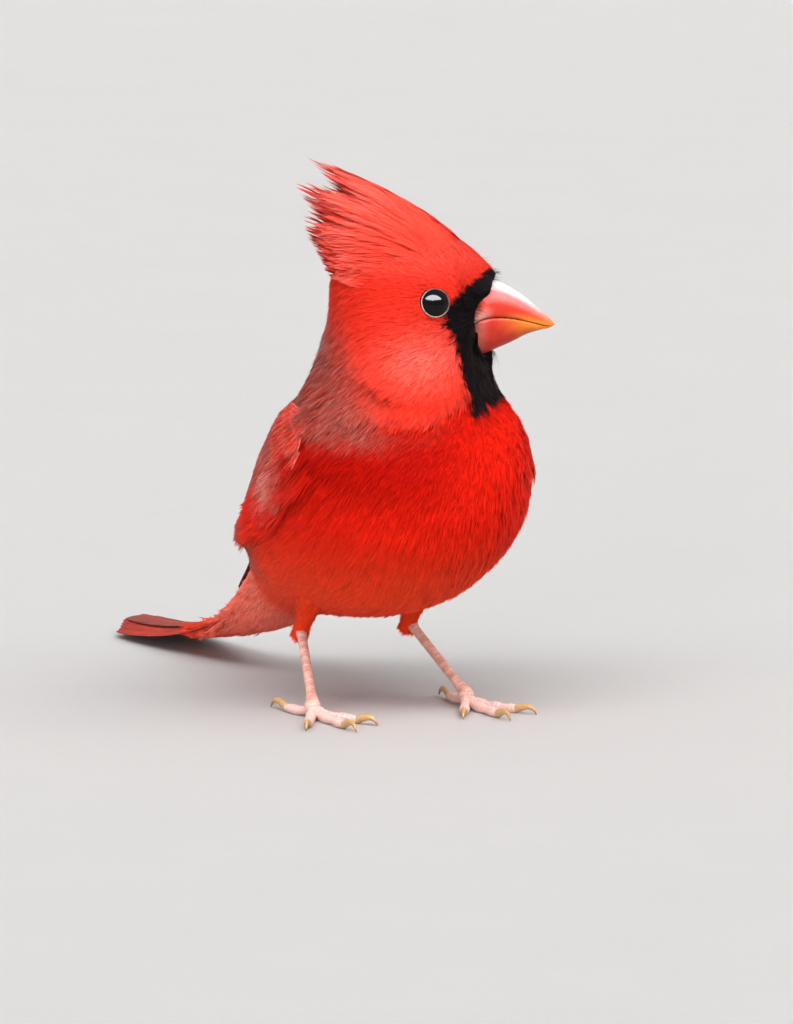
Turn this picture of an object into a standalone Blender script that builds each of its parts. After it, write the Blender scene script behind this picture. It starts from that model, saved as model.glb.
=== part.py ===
"""Northern cardinal, adult male, as a still, life-size model such as a museum shows.

The bird stands on both feet with the end of its tail laid on the floor. Its body is held
upright and its head is turned to its left. Lengths are in millimetres until a mesh is
made, and MM turns them to metres. While it is being shaped the bird stands with the
middle of its two feet over the origin, +X forward along the body, +Y to its left, +Z up.
"""

import math

import bmesh
import bpy
import numpy as np
from mathutils import Matrix, Vector

MM = 0.001
GAP = 0.3

# The body's outline in its plane of symmetry, with the head as if it looked straight
# ahead, from over the tail's root to the base of the bill. Each row is one section:
# back x and z, front x and z, half width, the share of the head's turn that it has
# taken, and how far its sides are set back behind its middle line.
SECTIONS = (
    (-84.0, 12.0, -82.0, 7.0, 6.5, 0.0, 0.0),
    (-68.0, 24.0, -62.5, 11.0, 8.5, 0.0, 0.0),
    (-54.0, 35.0, -47.0, 16.0, 11.5, 0.0, 0.0),
    (-45.0, 44.5, -34.0, 18.5, 17.0, 0.0, 0.0),
    (-38.0, 54.0, -18.0, 20.0, 23.0, 0.0, 0.0),
    (-31.5, 62.5, -2.0, 22.0, 26.8, 0.0, 0.0),
    (-25.0, 71.0, 15.5, 27.0, 29.0, 0.0, 0.0),
    (-19.0, 78.0, 32.0, 38.0, 29.6, 0.0, 0.0),
    (-14.5, 84.5, 38.8, 52.0, 26.2, 0.04, 0.0),
    (-12.0, 90.0, 37.0, 63.5, 21.8, 0.18, 0.0),
    (-11.0, 95.0, 31.8, 71.3, 19.4, 0.4, 0.0),
    (-10.0, 100.0, 28.7, 76.0, 18.0, 0.65, 0.0),
    (-7.5, 105.2, 27.2, 79.0, 16.8, 0.86, 0.0),
    (-2.0, 110.0, 26.9, 80.5, 15.6, 0.97, 0.0),
    (6.0, 112.9, 26.7, 81.5, 14.2, 1.0, 0.2),
    (14.0, 111.4, 26.6, 82.3, 12.8, 1.0, 1.0),
    (21.0, 107.3, 26.6, 83.0, 10.3, 1.0, 3.0),
    (27.3, 101.2, 26.7, 83.6, 6.6, 1.0, 4.4),
)
BACK_PINCH = 0.3
HEAD_TURN = math.radians(65.0)
NECK_AXIS_X = 5.0

# Where the body is parted, as places along the rows above.
TAIL_ROOT, NECK_ROOT, HEAD_ROOT, MASK_EDGE, BILL_BASE = 2.0, 9.0, 11.3, 16.1, 17.0
BODY_SIDES = 32

# The bill, from inside the face to its tip: culmen x and z, mouth line x and z, lower
# edge x and z, half width.
BILL = (
    (20.2, 100.6, 20.2, 92.0, 20.2, 84.0, 6.2),
    (26.8, 99.6, 24.6, 92.2, 24.2, 84.2, 6.1),
    (30.2, 98.0, 28.0, 91.9, 27.2, 85.0, 5.6),
    (33.7, 95.7, 31.5, 91.3, 30.4, 86.2, 4.6),
    (36.8, 93.1, 34.9, 90.4, 33.7, 87.4, 3.4),
    (39.1, 91.1, 37.6, 89.6, 36.5, 88.3, 1.9),
    (40.3, 89.6, 39.4, 89.1, 38.5, 88.7, 0.35),
)
NOSTRIL_RADIUS = 0.55

EYE_STATION, EYE_RADIUS, EYE_OPENING, LID_RADIUS = 13.35, 3.9, 3.05, 0.5

TAIL_LENGTH, TAIL_START, TAIL_SLOPE, TAIL_END_SLOPE = 98.0, (-48.0, 27.2), 35.0, 1.0
TAIL_BEND = 1.4

FOOT_Y, KNOB_Z, KNOB_RADIUS = 19.2, 3.3, 1.9
ANKLE = (-19.0, 13.5, 18.0)
SHANK_RADIUS = 1.15
TOE_RADIUS = 1.15
TOE_ROOT = 6.0
# Each toe: its number, direction from straight ahead (outwards is positive), length, claw length.
TOES = ((1, 174.0, 12.5, 6.5), (2, -27.0, 14.0, 5.0), (3, 0.0, 18.0, 6.0), (4, 29.0, 15.0, 5.0))

TAIL_STEP = 0.42

# How far along the folded wing each flight feather ends, from the innermost one down.
FLIGHT_ENDS = (0.62, 0.7, 0.75, 0.79, 0.84, 0.89, 0.95, 1.0, 0.93)

# Crest feathers in the head's plane: root x and z, tip x and z, and how far each bows up.
CREST_MIDDLE = (
    ((18.0, 108.0), (1.0, 120.9), 0.9),
    ((14.0, 109.5), (-7.0, 124.8), 0.9),
    ((10.0, 110.5), (-14.2, 127.7), 0.6),
    ((5.5, 111.0), (-17.9, 122.5), 0.5),
    ((0.5, 110.5), (-15.4, 115.8), 0.3),
)
CREST_SIDES = (
    (
        ((15.0, 108.0), (-5.0, 122.2), 0.9),
        ((10.0, 109.5), (-12.6, 125.0), 0.7),
        ((5.0, 110.0), (-16.0, 120.8), 0.5),
        ((-0.5, 109.5), (-15.0, 114.8), 0.3),
    ),
    (
        ((10.5, 107.0), (-7.0, 117.6), 0.6),
        ((4.0, 107.5), (-12.2, 114.6), 0.5),
        ((-2.5, 106.5), (-13.6, 109.6), 0.3),
    ),
)
CREST_TILTS = (0.0, 62.0, 74.0)

COLOURS = {
    "plumage": ("C8281A", 0.7),
    "mask": ("17120F", 0.75),
    "crest": ("E04030", 0.7),
    "wing": ("8E3B2E", 0.65),
    "tail": ("8C2A1C", 0.6),
    "bill": ("E4644A", 0.35),
    "eye": ("120C0A", 0.05),
    "leg": ("B98A80", 0.55),
    "claw": ("8A6A48", 0.45),
}


def smooth_rows(rows, at):
    """The rows of a table, read at fractional places along a smooth curve through them."""
    rows = np.asarray(rows, float)
    at = np.asarray(at, float)
    padded = np.vstack([2 * rows[0] - rows[1], rows, 2 * rows[-1] - rows[-2]])
    first = np.clip(np.floor(at).astype(int), 0, len(rows) - 2)
    t = (at - first)[..., None]
    a, b, c, d = (padded[first + k] for k in range(4))
    return 0.5 * (2 * b + (c - a) * t + (2 * a - 5 * b + 4 * c - d) * t**2 + (3 * b - a - 3 * c + d) * t**3)


def turned(points, angle):
    """Points turned to the bird's left about the upright axis of its neck."""
    angle = np.asarray(angle, float)
    x = points[..., 0] - NECK_AXIS_X
    y = points[..., 1]
    out = np.array(points, float)
    out[..., 0] = NECK_AXIS_X + x * np.cos(angle) - y * np.sin(angle)
    out[..., 1] = x * np.sin(angle) + y * np.cos(angle)
    return out


def body_surface(station, around):
    """A point of the plumage. The station runs along SECTIONS, and around is the angle from the
    back, in radians, positive to the bird's left, on an ellipse from back to front."""
    row = smooth_rows(SECTIONS, station)
    back, front = row[..., 0:2], row[..., 2:4]
    rise = np.cos(around)
    flat = (back + front) / 2 + (back - front) / 2 * rise[..., None]
    setback = row[..., 6] * np.sin(around) ** 2
    side = row[..., 4] * np.sin(around) * (1 - BACK_PINCH * np.clip(rise, 0, 1) ** 1.5)
    return turned(np.stack([flat[..., 0] - setback, side, flat[..., 1]], -1), HEAD_TURN * row[..., 5])


def body_normal(station, around):
    """The outward direction of the plumage, from the slopes of its surface."""
    step = 0.02
    along = body_surface(station + step, around) - body_surface(station - step, around)
    across = body_surface(station, around + step) - body_surface(station, around - step)
    normal = np.cross(along, across)
    return normal / np.linalg.norm(normal, axis=-1, keepdims=True)


def over_body(station, around, height):
    station, around = np.broadcast_arrays(np.asarray(station, float), np.asarray(around, float))
    return body_surface(station, around) + body_normal(station, around) * np.asarray(height)[..., None]


def material(name):
    """A plain finish in the part's own colour."""
    if name in bpy.data.materials:
        return bpy.data.materials[name]
    hexed, roughness = COLOURS[name]
    made = bpy.data.materials.new(name)
    made.use_nodes = True
    shader = made.node_tree.nodes["Principled BSDF"]
    linear = [(int(hexed[i : i + 2], 16) / 255) ** 2.2 for i in (0, 2, 4)]
    shader.inputs["Base Color"].default_value = (*linear, 1.0)
    shader.inputs["Roughness"].default_value = roughness
    return made


def mesh_object(name, points, faces, finish, home):
    """A closed mesh in metres, with its faces turned outwards."""
    mesh = bpy.data.meshes.new(name)
    mesh.from_pydata([Vector(p) * MM for p in np.asarray(points).reshape(-1, 3)], [], faces)
    work = bmesh.new()
    work.from_mesh(mesh)
    bmesh.ops.remove_doubles(work, verts=work.verts, dist=1e-7)
    bmesh.ops.recalc_face_normals(work, faces=work.faces)
    bmesh.ops.triangulate(work, faces=work.faces)
    work.to_mesh(mesh)
    work.free()
    mesh.materials.append(material(finish))
    mesh.shade_smooth()
    mesh.set_sharp_from_angle(angle=math.radians(50))
    made = bpy.data.objects.new(name, mesh)
    home.objects.link(made)
    return made


def ring_faces(rings, sides):
    """Quads between rings of points, and a fan over the first and the last ring, whose hub
    points come after the rings."""
    faces = []
    for r in range(rings - 1):
        for s in range(sides):
            n = (s + 1) % sides
            faces.append((r * sides + s, r * sides + n, (r + 1) * sides + n, (r + 1) * sides + s))
    first_hub, last_hub = rings * sides, rings * sides + 1
    last = (rings - 1) * sides
    for s in range(sides):
        n = (s + 1) % sides
        faces.append((n, s, first_hub))
        faces.append((last + s, last + n, last_hub))
    return faces


def loft(name, rings, finish, home):
    """A closed body through rings of points, each ring an array of (sides, 3)."""
    rings = np.asarray(rings, float)
    hubs = np.stack([rings[0].mean(0), rings[-1].mean(0)])
    points = np.vstack([rings.reshape(-1, 3), hubs])
    return mesh_object(name, points, ring_faces(len(rings), rings.shape[1]), finish, home)


def body_length(name, start, end, count, sides, finish, home, height=0.0, start_gap=0.0):
    """A length of the body between two stations, with flat ends, moved on by start_gap there."""
    stations = np.linspace(start, end, count)
    around = np.linspace(0, 2 * math.pi, sides, endpoint=False)
    grid_s, grid_a = np.meshgrid(stations, around, indexing="ij")
    rings = over_body(grid_s, grid_a, np.full(grid_s.shape, height))
    if height:
        flat = body_surface(grid_s, grid_a)
        centre = flat.mean(1, keepdims=True)
        size = np.linalg.norm(flat - centre, axis=-1, keepdims=True)
        rings = centre + (flat - centre) * (1 + height / size)
    if start_gap:
        a, b = body_surface(stations[:1, None], around[None])[0], rings[0]
        normal = np.cross(a[sides // 4] - a[0], a[sides // 2] - a[0])
        normal /= np.linalg.norm(normal)
        forward = body_surface(stations[0] + 0.5, around).mean(0) - a.mean(0)
        rings[0] = b + normal * math.copysign(start_gap, normal @ forward)
    return loft(name, rings, finish, home)


def tube(name, path, radii, sides, finish, home, flatten=1.0):
    """A round tube along a path, each ring square to it."""
    path = np.asarray(path, float)
    radii = np.broadcast_to(np.asarray(radii, float), (len(path),))
    tangent = np.gradient(path, axis=0)
    tangent /= np.linalg.norm(tangent, axis=1, keepdims=True)
    level = np.cross(tangent, (0.0, 0.0, 1.0))
    weak = np.linalg.norm(level, axis=1) < 1e-3
    level[weak] = (0.0, 1.0, 0.0)
    level /= np.linalg.norm(level, axis=1, keepdims=True)
    upright = np.cross(level, tangent)
    angle = np.linspace(0, 2 * math.pi, sides, endpoint=False)
    around = (
        level[:, None] * np.cos(angle)[None, :, None]
        + upright[:, None] * np.sin(angle)[None, :, None] * flatten
    )
    return loft(name, path[:, None] + around * radii[:, None, None], finish, home)


def vane(name, spine, normals, half_width, thickness, finish, home, roll=0.0):
    """One feather: a blade along a spine of points, with a low ridge above and below and sharp
    edges. Both faces are split into the same triangles. roll tips it about the spine."""
    spine, normals = np.asarray(spine, float), np.asarray(normals, float)
    tangent = np.gradient(spine, axis=0)
    tangent /= np.linalg.norm(tangent, axis=1, keepdims=True)
    across = np.cross(normals, tangent)
    across /= np.linalg.norm(across, axis=1, keepdims=True)
    up = np.cross(tangent, across)
    tipped = across * math.cos(roll) + up * math.sin(roll)
    up = up * math.cos(roll) - across * math.sin(roll)
    wide = np.asarray(half_width, float)[:, None] * tipped
    thick = np.broadcast_to(np.asarray(thickness, float), (len(spine),))[:, None] / 2 * up
    loops = np.stack([spine + wide, spine + thick, spine - wide, spine - thick], axis=1)
    faces = []
    for r in range(len(spine) - 1):
        for s in range(4):
            n = (s + 1) % 4
            a, b, c, d = r * 4 + s, r * 4 + n, (r + 1) * 4 + n, (r + 1) * 4 + s
            faces += [(a, b, d), (b, c, d)] if s in (0, 3) else [(a, b, c), (a, c, d)]
    last = (len(spine) - 1) * 4
    for base in (0, last):
        faces += [(base, base + 1, base + 2), (base, base + 2, base + 3)]
    return mesh_object(name, loops.reshape(-1, 3), faces, finish, home)


def feather_outline(count, width, root=0.45, widest=0.6, tip=0.12):
    """Half widths along a feather: narrow at the root, widest past the middle, round at the tip."""
    t = np.linspace(0, 1, count)
    swell = root + (1 - root) * np.sin(np.clip(t / widest, 0, 1) * math.pi / 2)
    close = np.sqrt(np.clip(1 - (np.clip(t - widest, 0, 1) / (1 - widest)) ** 2, 0, 1))
    return width / 2 * np.maximum(swell * close, tip)


def drop(objects):
    for obj in list(objects):
        bpy.data.objects.remove(obj, do_unlink=True)


def evaluated_mesh(obj):
    bpy.context.view_layer.update()
    graph = bpy.context.evaluated_depsgraph_get()
    return bpy.data.meshes.new_from_object(obj.evaluated_get(graph), depsgraph=graph)


def keep_largest(mesh):
    """Drops every closed surface of a mesh but the largest."""
    work = bmesh.new()
    work.from_mesh(mesh)
    left = set(work.verts)
    shells = []
    while left:
        found, edge = set(), [left.pop()]
        while edge:
            vert = edge.pop()
            found.add(vert)
            for link in vert.link_edges:
                other = link.other_vert(vert)
                if other in left:
                    left.discard(other)
                    edge.append(other)
        shells.append(found)
    shells.sort(key=len)
    for shell in shells[:-1]:
        bmesh.ops.delete(work, geom=list(shell), context="VERTS")
    work.to_mesh(mesh)
    work.free()


def combine(obj, operation, others, solver="MANIFOLD"):
    """obj joined with, or cut by, other closed meshes, which are then removed."""
    helpers = bpy.data.collections.new("helpers")
    for other in others:
        helpers.objects.link(other)
    bpy.context.scene.collection.children.link(helpers)
    step = obj.modifiers.new("combine", "BOOLEAN")
    step.operation = operation
    step.operand_type = "COLLECTION"
    step.collection = helpers
    step.solver = solver
    mesh = evaluated_mesh(obj)
    obj.modifiers.clear()
    keep_largest(mesh)
    obj.data = mesh
    drop(others)
    bpy.data.collections.remove(helpers)
    return obj


def fuse(obj, others, solver="MANIFOLD"):
    return combine(obj, "UNION", others, solver) if others else obj


def cut(obj, others, solver="MANIFOLD"):
    return combine(obj, "DIFFERENCE", others, solver)


def ball(name, centre, radius, finish, home, segments=16, rings=10):
    """A sphere, as a turned primitive."""
    work = bmesh.new()
    bmesh.ops.create_uvsphere(
        work,
        u_segments=segments,
        v_segments=rings,
        radius=radius * MM,
        matrix=Matrix.Translation(Vector(centre) * MM),
    )
    mesh = bpy.data.meshes.new(name)
    work.to_mesh(mesh)
    work.free()
    mesh.materials.append(material(finish))
    mesh.shade_smooth()
    made = bpy.data.objects.new(name, mesh)
    home.objects.link(made)
    return made


def floor_cutter(home):
    """A slab whose top is the floor, to trim small flats where the bird rests."""
    work = bmesh.new()
    bmesh.ops.create_cube(work, size=1.0)
    bmesh.ops.scale(work, vec=(0.6, 0.6, 0.02), verts=work.verts)
    bmesh.ops.translate(work, vec=(0, 0, -0.01), verts=work.verts)
    mesh = bpy.data.meshes.new("floor_cutter")
    work.to_mesh(mesh)
    work.free()
    made = bpy.data.objects.new("floor_cutter", mesh)
    home.objects.link(made)
    return made


def envelope(start, end, home, height=GAP):
    """The body between two stations, grown by the gap: what grows from it is cut clear by this."""
    count = int(round((end - start) * 3)) + 1
    return body_length("envelope", start, end, count, BODY_SIDES, "plumage", home, height)


def make_torso(home):
    return body_length("torso", TAIL_ROOT, NECK_ROOT, 19, BODY_SIDES, "plumage", home)


def make_neck(home):
    return body_length("neck", NECK_ROOT, HEAD_ROOT, 8, BODY_SIDES, "plumage", home, start_gap=GAP)


def eye_place(side):
    """Centre of the eyeball and the way it looks: it sits below the plumage so that the
    opening has its radius."""
    at, around = EYE_STATION, side * math.radians(89)
    point = body_surface(np.array(at), np.array(around))
    normal = body_normal(np.array(at), np.array(around))
    depth = math.sqrt(EYE_RADIUS**2 - EYE_OPENING**2)
    return point - normal * depth, normal, point


def make_eyes(home):
    for name, side in (("eye_left", 1), ("eye_right", -1)):
        centre, _, _ = eye_place(side)
        ball(name, centre, EYE_RADIUS, "eye", home)


def lid_ring(side, home):
    """The lids as a thin ring round the eye's opening."""
    _, normal, point = eye_place(side)
    a = np.cross(normal, (0.0, 0.0, 1.0))
    a /= np.linalg.norm(a)
    b = np.cross(normal, a)
    turn = np.linspace(0, 2 * math.pi, 14, endpoint=False)
    ring_radius = EYE_OPENING + LID_RADIUS * 0.7
    centres = point + (a * np.cos(turn)[:, None] + b * np.sin(turn)[:, None]) * ring_radius
    small = np.linspace(0, 2 * math.pi, 5, endpoint=False)
    outward = (centres - point) / ring_radius
    rings = (
        centres[:, None]
        + (outward[:, None] * np.cos(small)[None, :, None] + normal * np.sin(small)[None, :, None])
        * LID_RADIUS
    )
    rings_count, sides = rings.shape[:2]
    faces = []
    for r in range(rings_count):
        m = (r + 1) % rings_count
        for s in range(sides):
            n = (s + 1) % sides
            faces.append((r * sides + s, r * sides + n, m * sides + n, m * sides + s))
    return mesh_object("lid", rings.reshape(-1, 3), faces, "plumage", home)


def make_head(home):
    head = body_length("head", HEAD_ROOT, MASK_EDGE, 12, BODY_SIDES, "plumage", home, start_gap=GAP)
    fuse(head, [lid_ring(side, home) for side in (1, -1)])
    sockets = [ball("socket", eye_place(side)[0], EYE_RADIUS + GAP, "eye", home) for side in (1, -1)]
    cut(head, sockets)
    return cut(head, [loft("bill_room", bill_rings(0, GAP), "bill", home)])


def make_mask(home):
    mask = body_length("face_mask", MASK_EDGE, BILL_BASE, 4, BODY_SIDES, "mask", home, start_gap=GAP)
    return cut(mask, [loft("bill_room", bill_rings(0, GAP), "bill", home)], "MANIFOLD")


def bill_rings(half, grow=0.0):
    """Sections of the bill: its upper half (1), its lower half (-1), or the whole of it (0),
    grown by a margin. Each half is a vault over a flat face at the mouth line."""
    rows = smooth_rows(BILL, np.linspace(0, len(BILL) - 1, 12))
    arc = np.linspace(-math.pi / 2, math.pi / 2, 9)
    rings = []
    for culmen_x, culmen_z, mouth_x, mouth_z, gonys_x, gonys_z, width in rows:
        mouth = np.array([mouth_x, mouth_z])
        vaults = []
        for which in (1, -1):
            far = np.array([culmen_x, culmen_z]) if which > 0 else np.array([gonys_x, gonys_z])
            reach = (far - mouth) / np.linalg.norm(far - mouth)
            start = mouth + reach * (0 if half == 0 else GAP / 2)
            vault = start + (far + reach * grow - start) * np.cos(arc)[:, None] ** 0.85
            side = (width + grow) * np.sign(np.sin(arc)) * np.abs(np.sin(arc)) ** 0.9 * which
            vaults.append(np.stack([vault[:, 0], side, vault[:, 1]], -1))
        if half:
            ring = vaults[0 if half > 0 else 1]
            flat = ring[-1] + (ring[0] - ring[-1]) * np.linspace(0, 1, 5)[1:-1, None]
            rings.append(np.vstack([ring, flat]))
        else:
            rings.append(np.vstack([vaults[0][:-1], vaults[1][:-1]]))
    rings = np.array(rings)
    rings[0, :, 0] -= 2 * grow
    return turned(rings, HEAD_TURN)


def make_bill(home):
    upper = loft("bill_upper", bill_rings(1), "bill", home)
    loft("bill_lower", bill_rings(-1), "bill", home)
    holes = []
    for side in (1, -1):
        place = turned(np.array([28.5, side * 4.1, 96.2]), HEAD_TURN)
        holes.append(ball("nostril", place, NOSTRIL_RADIUS, "bill", home, 8, 5))
    cut(upper, holes)


def make_legs(home):
    for side_name, side in (("left", 1), ("right", -1)):
        ankle = np.array([ANKLE[0], side * ANKLE[1], ANKLE[2]])
        knob = np.array([0.0, side * FOOT_Y, KNOB_Z])
        t = np.linspace(0, 0.93, 9)
        path = ankle + (knob - ankle) * t[:, None]
        swell = 1 + 0.45 * np.exp(-((t / 0.08) ** 2)) + 0.4 * np.exp(-(((1 - t) / 0.14) ** 2))
        shank = tube(f"shank_{side_name}", path, SHANK_RADIUS * swell, 9, "leg", home)
        cut(shank, [ball("knob_room", knob, KNOB_RADIUS + GAP, "leg", home, 12, 8)])
        make_foot(side_name, side, knob, home)
        make_thigh(side_name, side, home)


def toe_path(knob, heading, reach):
    """Middle line of a toe, at distances from the knob: it comes down to run along the floor."""
    rest = TOE_RADIUS * 0.9
    path = np.array([knob[0], knob[1], 0.0]) + heading * reach[:, None]
    path[:, 2] = rest + (knob[2] - 0.9 - rest) * np.clip(1 - reach / 6.5, 0, 1) ** 1.5
    return path


def make_foot(side_name, side, knob, home):
    """The knob with its pad and the joined roots of the toes, then each toe and its claw."""
    foot = ball(f"foot_{side_name}", knob, KNOB_RADIUS, "leg", home, 12, 8)
    grown = [ball("pad", knob - (0.4, 0, 1.63), KNOB_RADIUS * 0.93, "leg", home, 10, 6)]
    for number, angle, length, claw in TOES:
        turn = math.radians(angle) * side
        heading = np.array([math.cos(turn), math.sin(turn), 0.0])
        path = toe_path(knob, heading, np.linspace(0.12 * number, TOE_ROOT - GAP, 4))
        grown.append(tube("toe_root", path, TOE_RADIUS * (1 + 0.012 * number), 7, "leg", home))
        t = np.linspace(0, 1, 9)
        toe = toe_path(knob, heading, TOE_ROOT + (length - TOE_ROOT) * t)
        pads = 1 + 0.1 * np.cos(t * math.pi * 4) - 0.3 * t**1.5
        name = f"{side_name}_{number}"
        made = tube(f"toe_{name}", toe, TOE_RADIUS * pads, 8, "leg", home)
        cut(made, [floor_cutter(home)])
        make_claw(f"claw_{name}", toe[-1], heading, claw, home)
    fuse(foot, grown)
    cut(foot, [floor_cutter(home)])


def make_claw(name, toe_end, heading, length, home):
    """A hooked cone that arches up from the toe's end and comes down to the floor."""
    t = np.linspace(0, 1, 7)
    root = toe_end + heading * GAP
    lift = root[2] * (1 - t) + 0.14 * t + np.sin(t * math.pi) * length * 0.2
    path = root + heading * (length * np.sin(t * 1.35) / math.sin(1.35))[:, None] * 0.92
    path[:, 2] = lift
    radii = 0.72 * (1 - t) ** 0.75 + 0.12
    claw = tube(name, path, radii, 6, "claw", home)
    cut(claw, [floor_cutter(home)])


def make_thigh(side_name, side, home):
    """The tuft of feathers round the top of the leg, from the belly to the ankle."""
    hip = np.array([-8.0, side * 13.5, 33.0])
    ankle = np.array([ANKLE[0] + 1.2, side * ANKLE[1], ANKLE[2] + 0.8])
    t = np.linspace(0, 1, 7)
    path = hip + (ankle - hip) * t[:, None]
    thigh = tube(f"thigh_{side_name}", path, 2.6 + 4.6 * (1 - t) ** 1.2, 12, "plumage", home)
    cut(thigh, [envelope(TAIL_ROOT, NECK_ROOT, home)])
    knob = np.array([0.0, side * FOOT_Y, KNOB_Z])
    way = (knob - ankle) / np.linalg.norm(knob - ankle)
    start = np.array([ANKLE[0], side * ANKLE[1], ANKLE[2]])
    room = [start - way * (SHANK_RADIUS + GAP), start, start + way * 6]
    cut(thigh, [tube("shank_room", room, SHANK_RADIUS * 1.5 + GAP, 12, "leg", home)])


def tail_line(share):
    """Points of the tail's middle line and its upward directions. Its slope eases off towards
    the floor, fastest near the root."""
    fine = np.linspace(0, 1, 201)
    slope = np.radians(TAIL_END_SLOPE + (TAIL_SLOPE - TAIL_END_SLOPE) * (1 - fine) ** TAIL_BEND)
    step = TAIL_LENGTH / 200
    x = TAIL_START[0] - np.concatenate([[0], np.cumsum(np.cos(slope[:-1])) * step])
    z = TAIL_START[1] - np.concatenate([[0], np.cumsum(np.sin(slope[:-1])) * step])
    share = np.asarray(share, float)
    angle = np.interp(share, fine, slope)
    zero = np.zeros_like(share)
    points = np.stack([np.interp(share, fine, x), zero, np.interp(share, fine, z)], -1)
    return points, np.stack([-np.sin(angle), zero, np.cos(angle)], -1)


def tail_feather(k, side, home):
    """One of the six feathers to a side, from the middle (0) outwards: each lies a little lower
    than the one inside it, and reaches from its own outer edge to the middle at most."""
    end = 1.0 - 0.014 * k
    share = np.array([0.06, 0.36, 0.68, 0.92, 1.0]) * end
    line, up = tail_line(share)
    outer = 4.4 + 1.6 * share + k / 5 * (2.3 + 4.6 * share)
    inner = np.maximum(outer - 10.5, -4.4 if k == 0 else 0.25)
    half = (outer - inner) / 2 * np.array([1, 1, 1, 0.88, 0.2])
    level = 1.5 - TAIL_STEP * k - (0.4 if k == 0 and side < 0 else 0.0)
    spine = line + up * (level * (0.5 + 0.5 * share))[:, None]
    spine[:, 1] = side * (outer + inner) / 2
    return vane("rectrix", spine, up, half, 0.66 - 0.16 * share, "tail", home, roll=-side * 0.03)


def tail_covert(upper, place, side, home):
    """A soft feather that lies on the tail's root, above it or below."""
    share = np.linspace(0.1, 0.46 - 0.07 * abs(place), 4)
    line, up = tail_line(share)
    height = (2.6 - 4.4 * share) if upper else -(4.2 - 7.6 * share)
    spine = line + up * (height - 0.3 * abs(place))[:, None]
    spine[:, 1] = place * 3.2 * side
    half = 3.4 * np.array([0.8, 1.0, 0.8, 0.15])
    return vane("covert", spine, up, half, 0.9, "tail", home, roll=-0.14 * place * side)


def make_tail(home):
    """The tail: a sheath that thins out from the rump, twelve long feathers and the coverts."""
    stations = np.array([0.02, 0.25, 0.55, 0.95, 1.45, TAIL_ROOT])
    around = np.linspace(0, 2 * math.pi, 18, endpoint=False)
    rings = body_surface(stations[:, None], around[None])
    centre = rings.mean(1, keepdims=True)
    rings = centre + (rings - centre) * np.array([0.16, 0.48, 0.76, 0.93, 1.0, 1.0])[:, None, None]
    tail = loft("tail", rings, "tail", home)
    feathers = [tail_feather(k, side, home) for k in range(6) for side in (1, -1)]
    feathers += [tail_covert(upper, 0, 1, home) for upper in (True, False)]
    feathers += [tail_covert(True, 1, side, home) for side in (1, -1)]
    fuse(tail, feathers)
    cut(tail, [envelope(TAIL_ROOT, 4.0, home)])
    cut(tail, [floor_cutter(home)])


def wing_edges(share):
    """Stations and the angles of the upper and lower edge of the folded wing, in degrees from
    the back, from its bend to its tip."""
    at = (0.0, 0.1, 0.25, 0.45, 0.65, 0.85, 1.0)
    station = np.interp(share, at, (8.1, 7.6, 6.7, 5.2, 3.6, 1.9, 0.7))
    upper = np.interp(share, at, (82, 66, 54, 46, 40, 34, 36))
    lower = np.interp(share, at, (88, 97, 100, 96, 84, 68, 52))
    return station, upper, lower


def wing_line(share, lane, side, height):
    """Points over the body and their outward directions, for places along the folded wing and
    lanes across it, from its upper edge (0) to its lower edge (1)."""
    station, upper, lower = wing_edges(share)
    around = np.radians(upper + (lower - upper) * lane) * side
    points = over_body(station, around, np.broadcast_to(np.asarray(height, float), station.shape))
    return points, body_normal(station, around)


def wing_width(share):
    """Breadth of the folded wing in millimetres at a place along it."""
    low, _ = wing_line(share, np.zeros_like(share), 1, 0.0)
    high, _ = wing_line(share, np.ones_like(share), 1, 0.0)
    return np.linalg.norm(high - low, axis=-1)


def flight_feather(j, side, home):
    """One of the feathers of the folded wing, counted from the innermost one down to the
    outermost: its lane moves up as those above it come to their ends."""
    end = FLIGHT_ENDS[j]
    share = 0.33 + (end - 0.33) * np.array([0.0, 0.2, 0.42, 0.68, 0.9, 1.0])
    count = len(FLIGHT_ENDS)
    ended = np.interp(share, (0.5, 0.7, 0.8, 1.0), (0.0, 1.8, 4.2, 6.0))
    lane = np.clip((j + 0.5 - ended) / (count - ended), 0.04, 0.98)
    pitch = wing_width(share) / (count - ended)
    half = np.maximum(pitch * 0.95, 1.1) * np.array([0.7, 1, 1, 1, 0.8, 0.15])
    points, normals = wing_line(share, lane, side, 1.15)
    return vane("flight", points, normals, half, 0.62, "wing", home, roll=side * 0.2)


def covert_row(count, start, end, lanes, height, side, home, broad=1.0):
    """A row of coverts across the wing, each overlapping the next."""
    made = []
    for lane in np.linspace(lanes[0], lanes[1], count):
        share = np.linspace(start, end - 0.05 * (1 - lane), 4)
        pitch = wing_width(share) * (lanes[1] - lanes[0]) / count
        half = pitch * broad * np.array([0.8, 1.0, 0.85, 0.15])
        points, normals = wing_line(share, np.full(4, lane), side, height)
        made.append(vane("covert", points, normals, half, 0.7, "wing", home, roll=side * 0.16))
    return made


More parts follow.
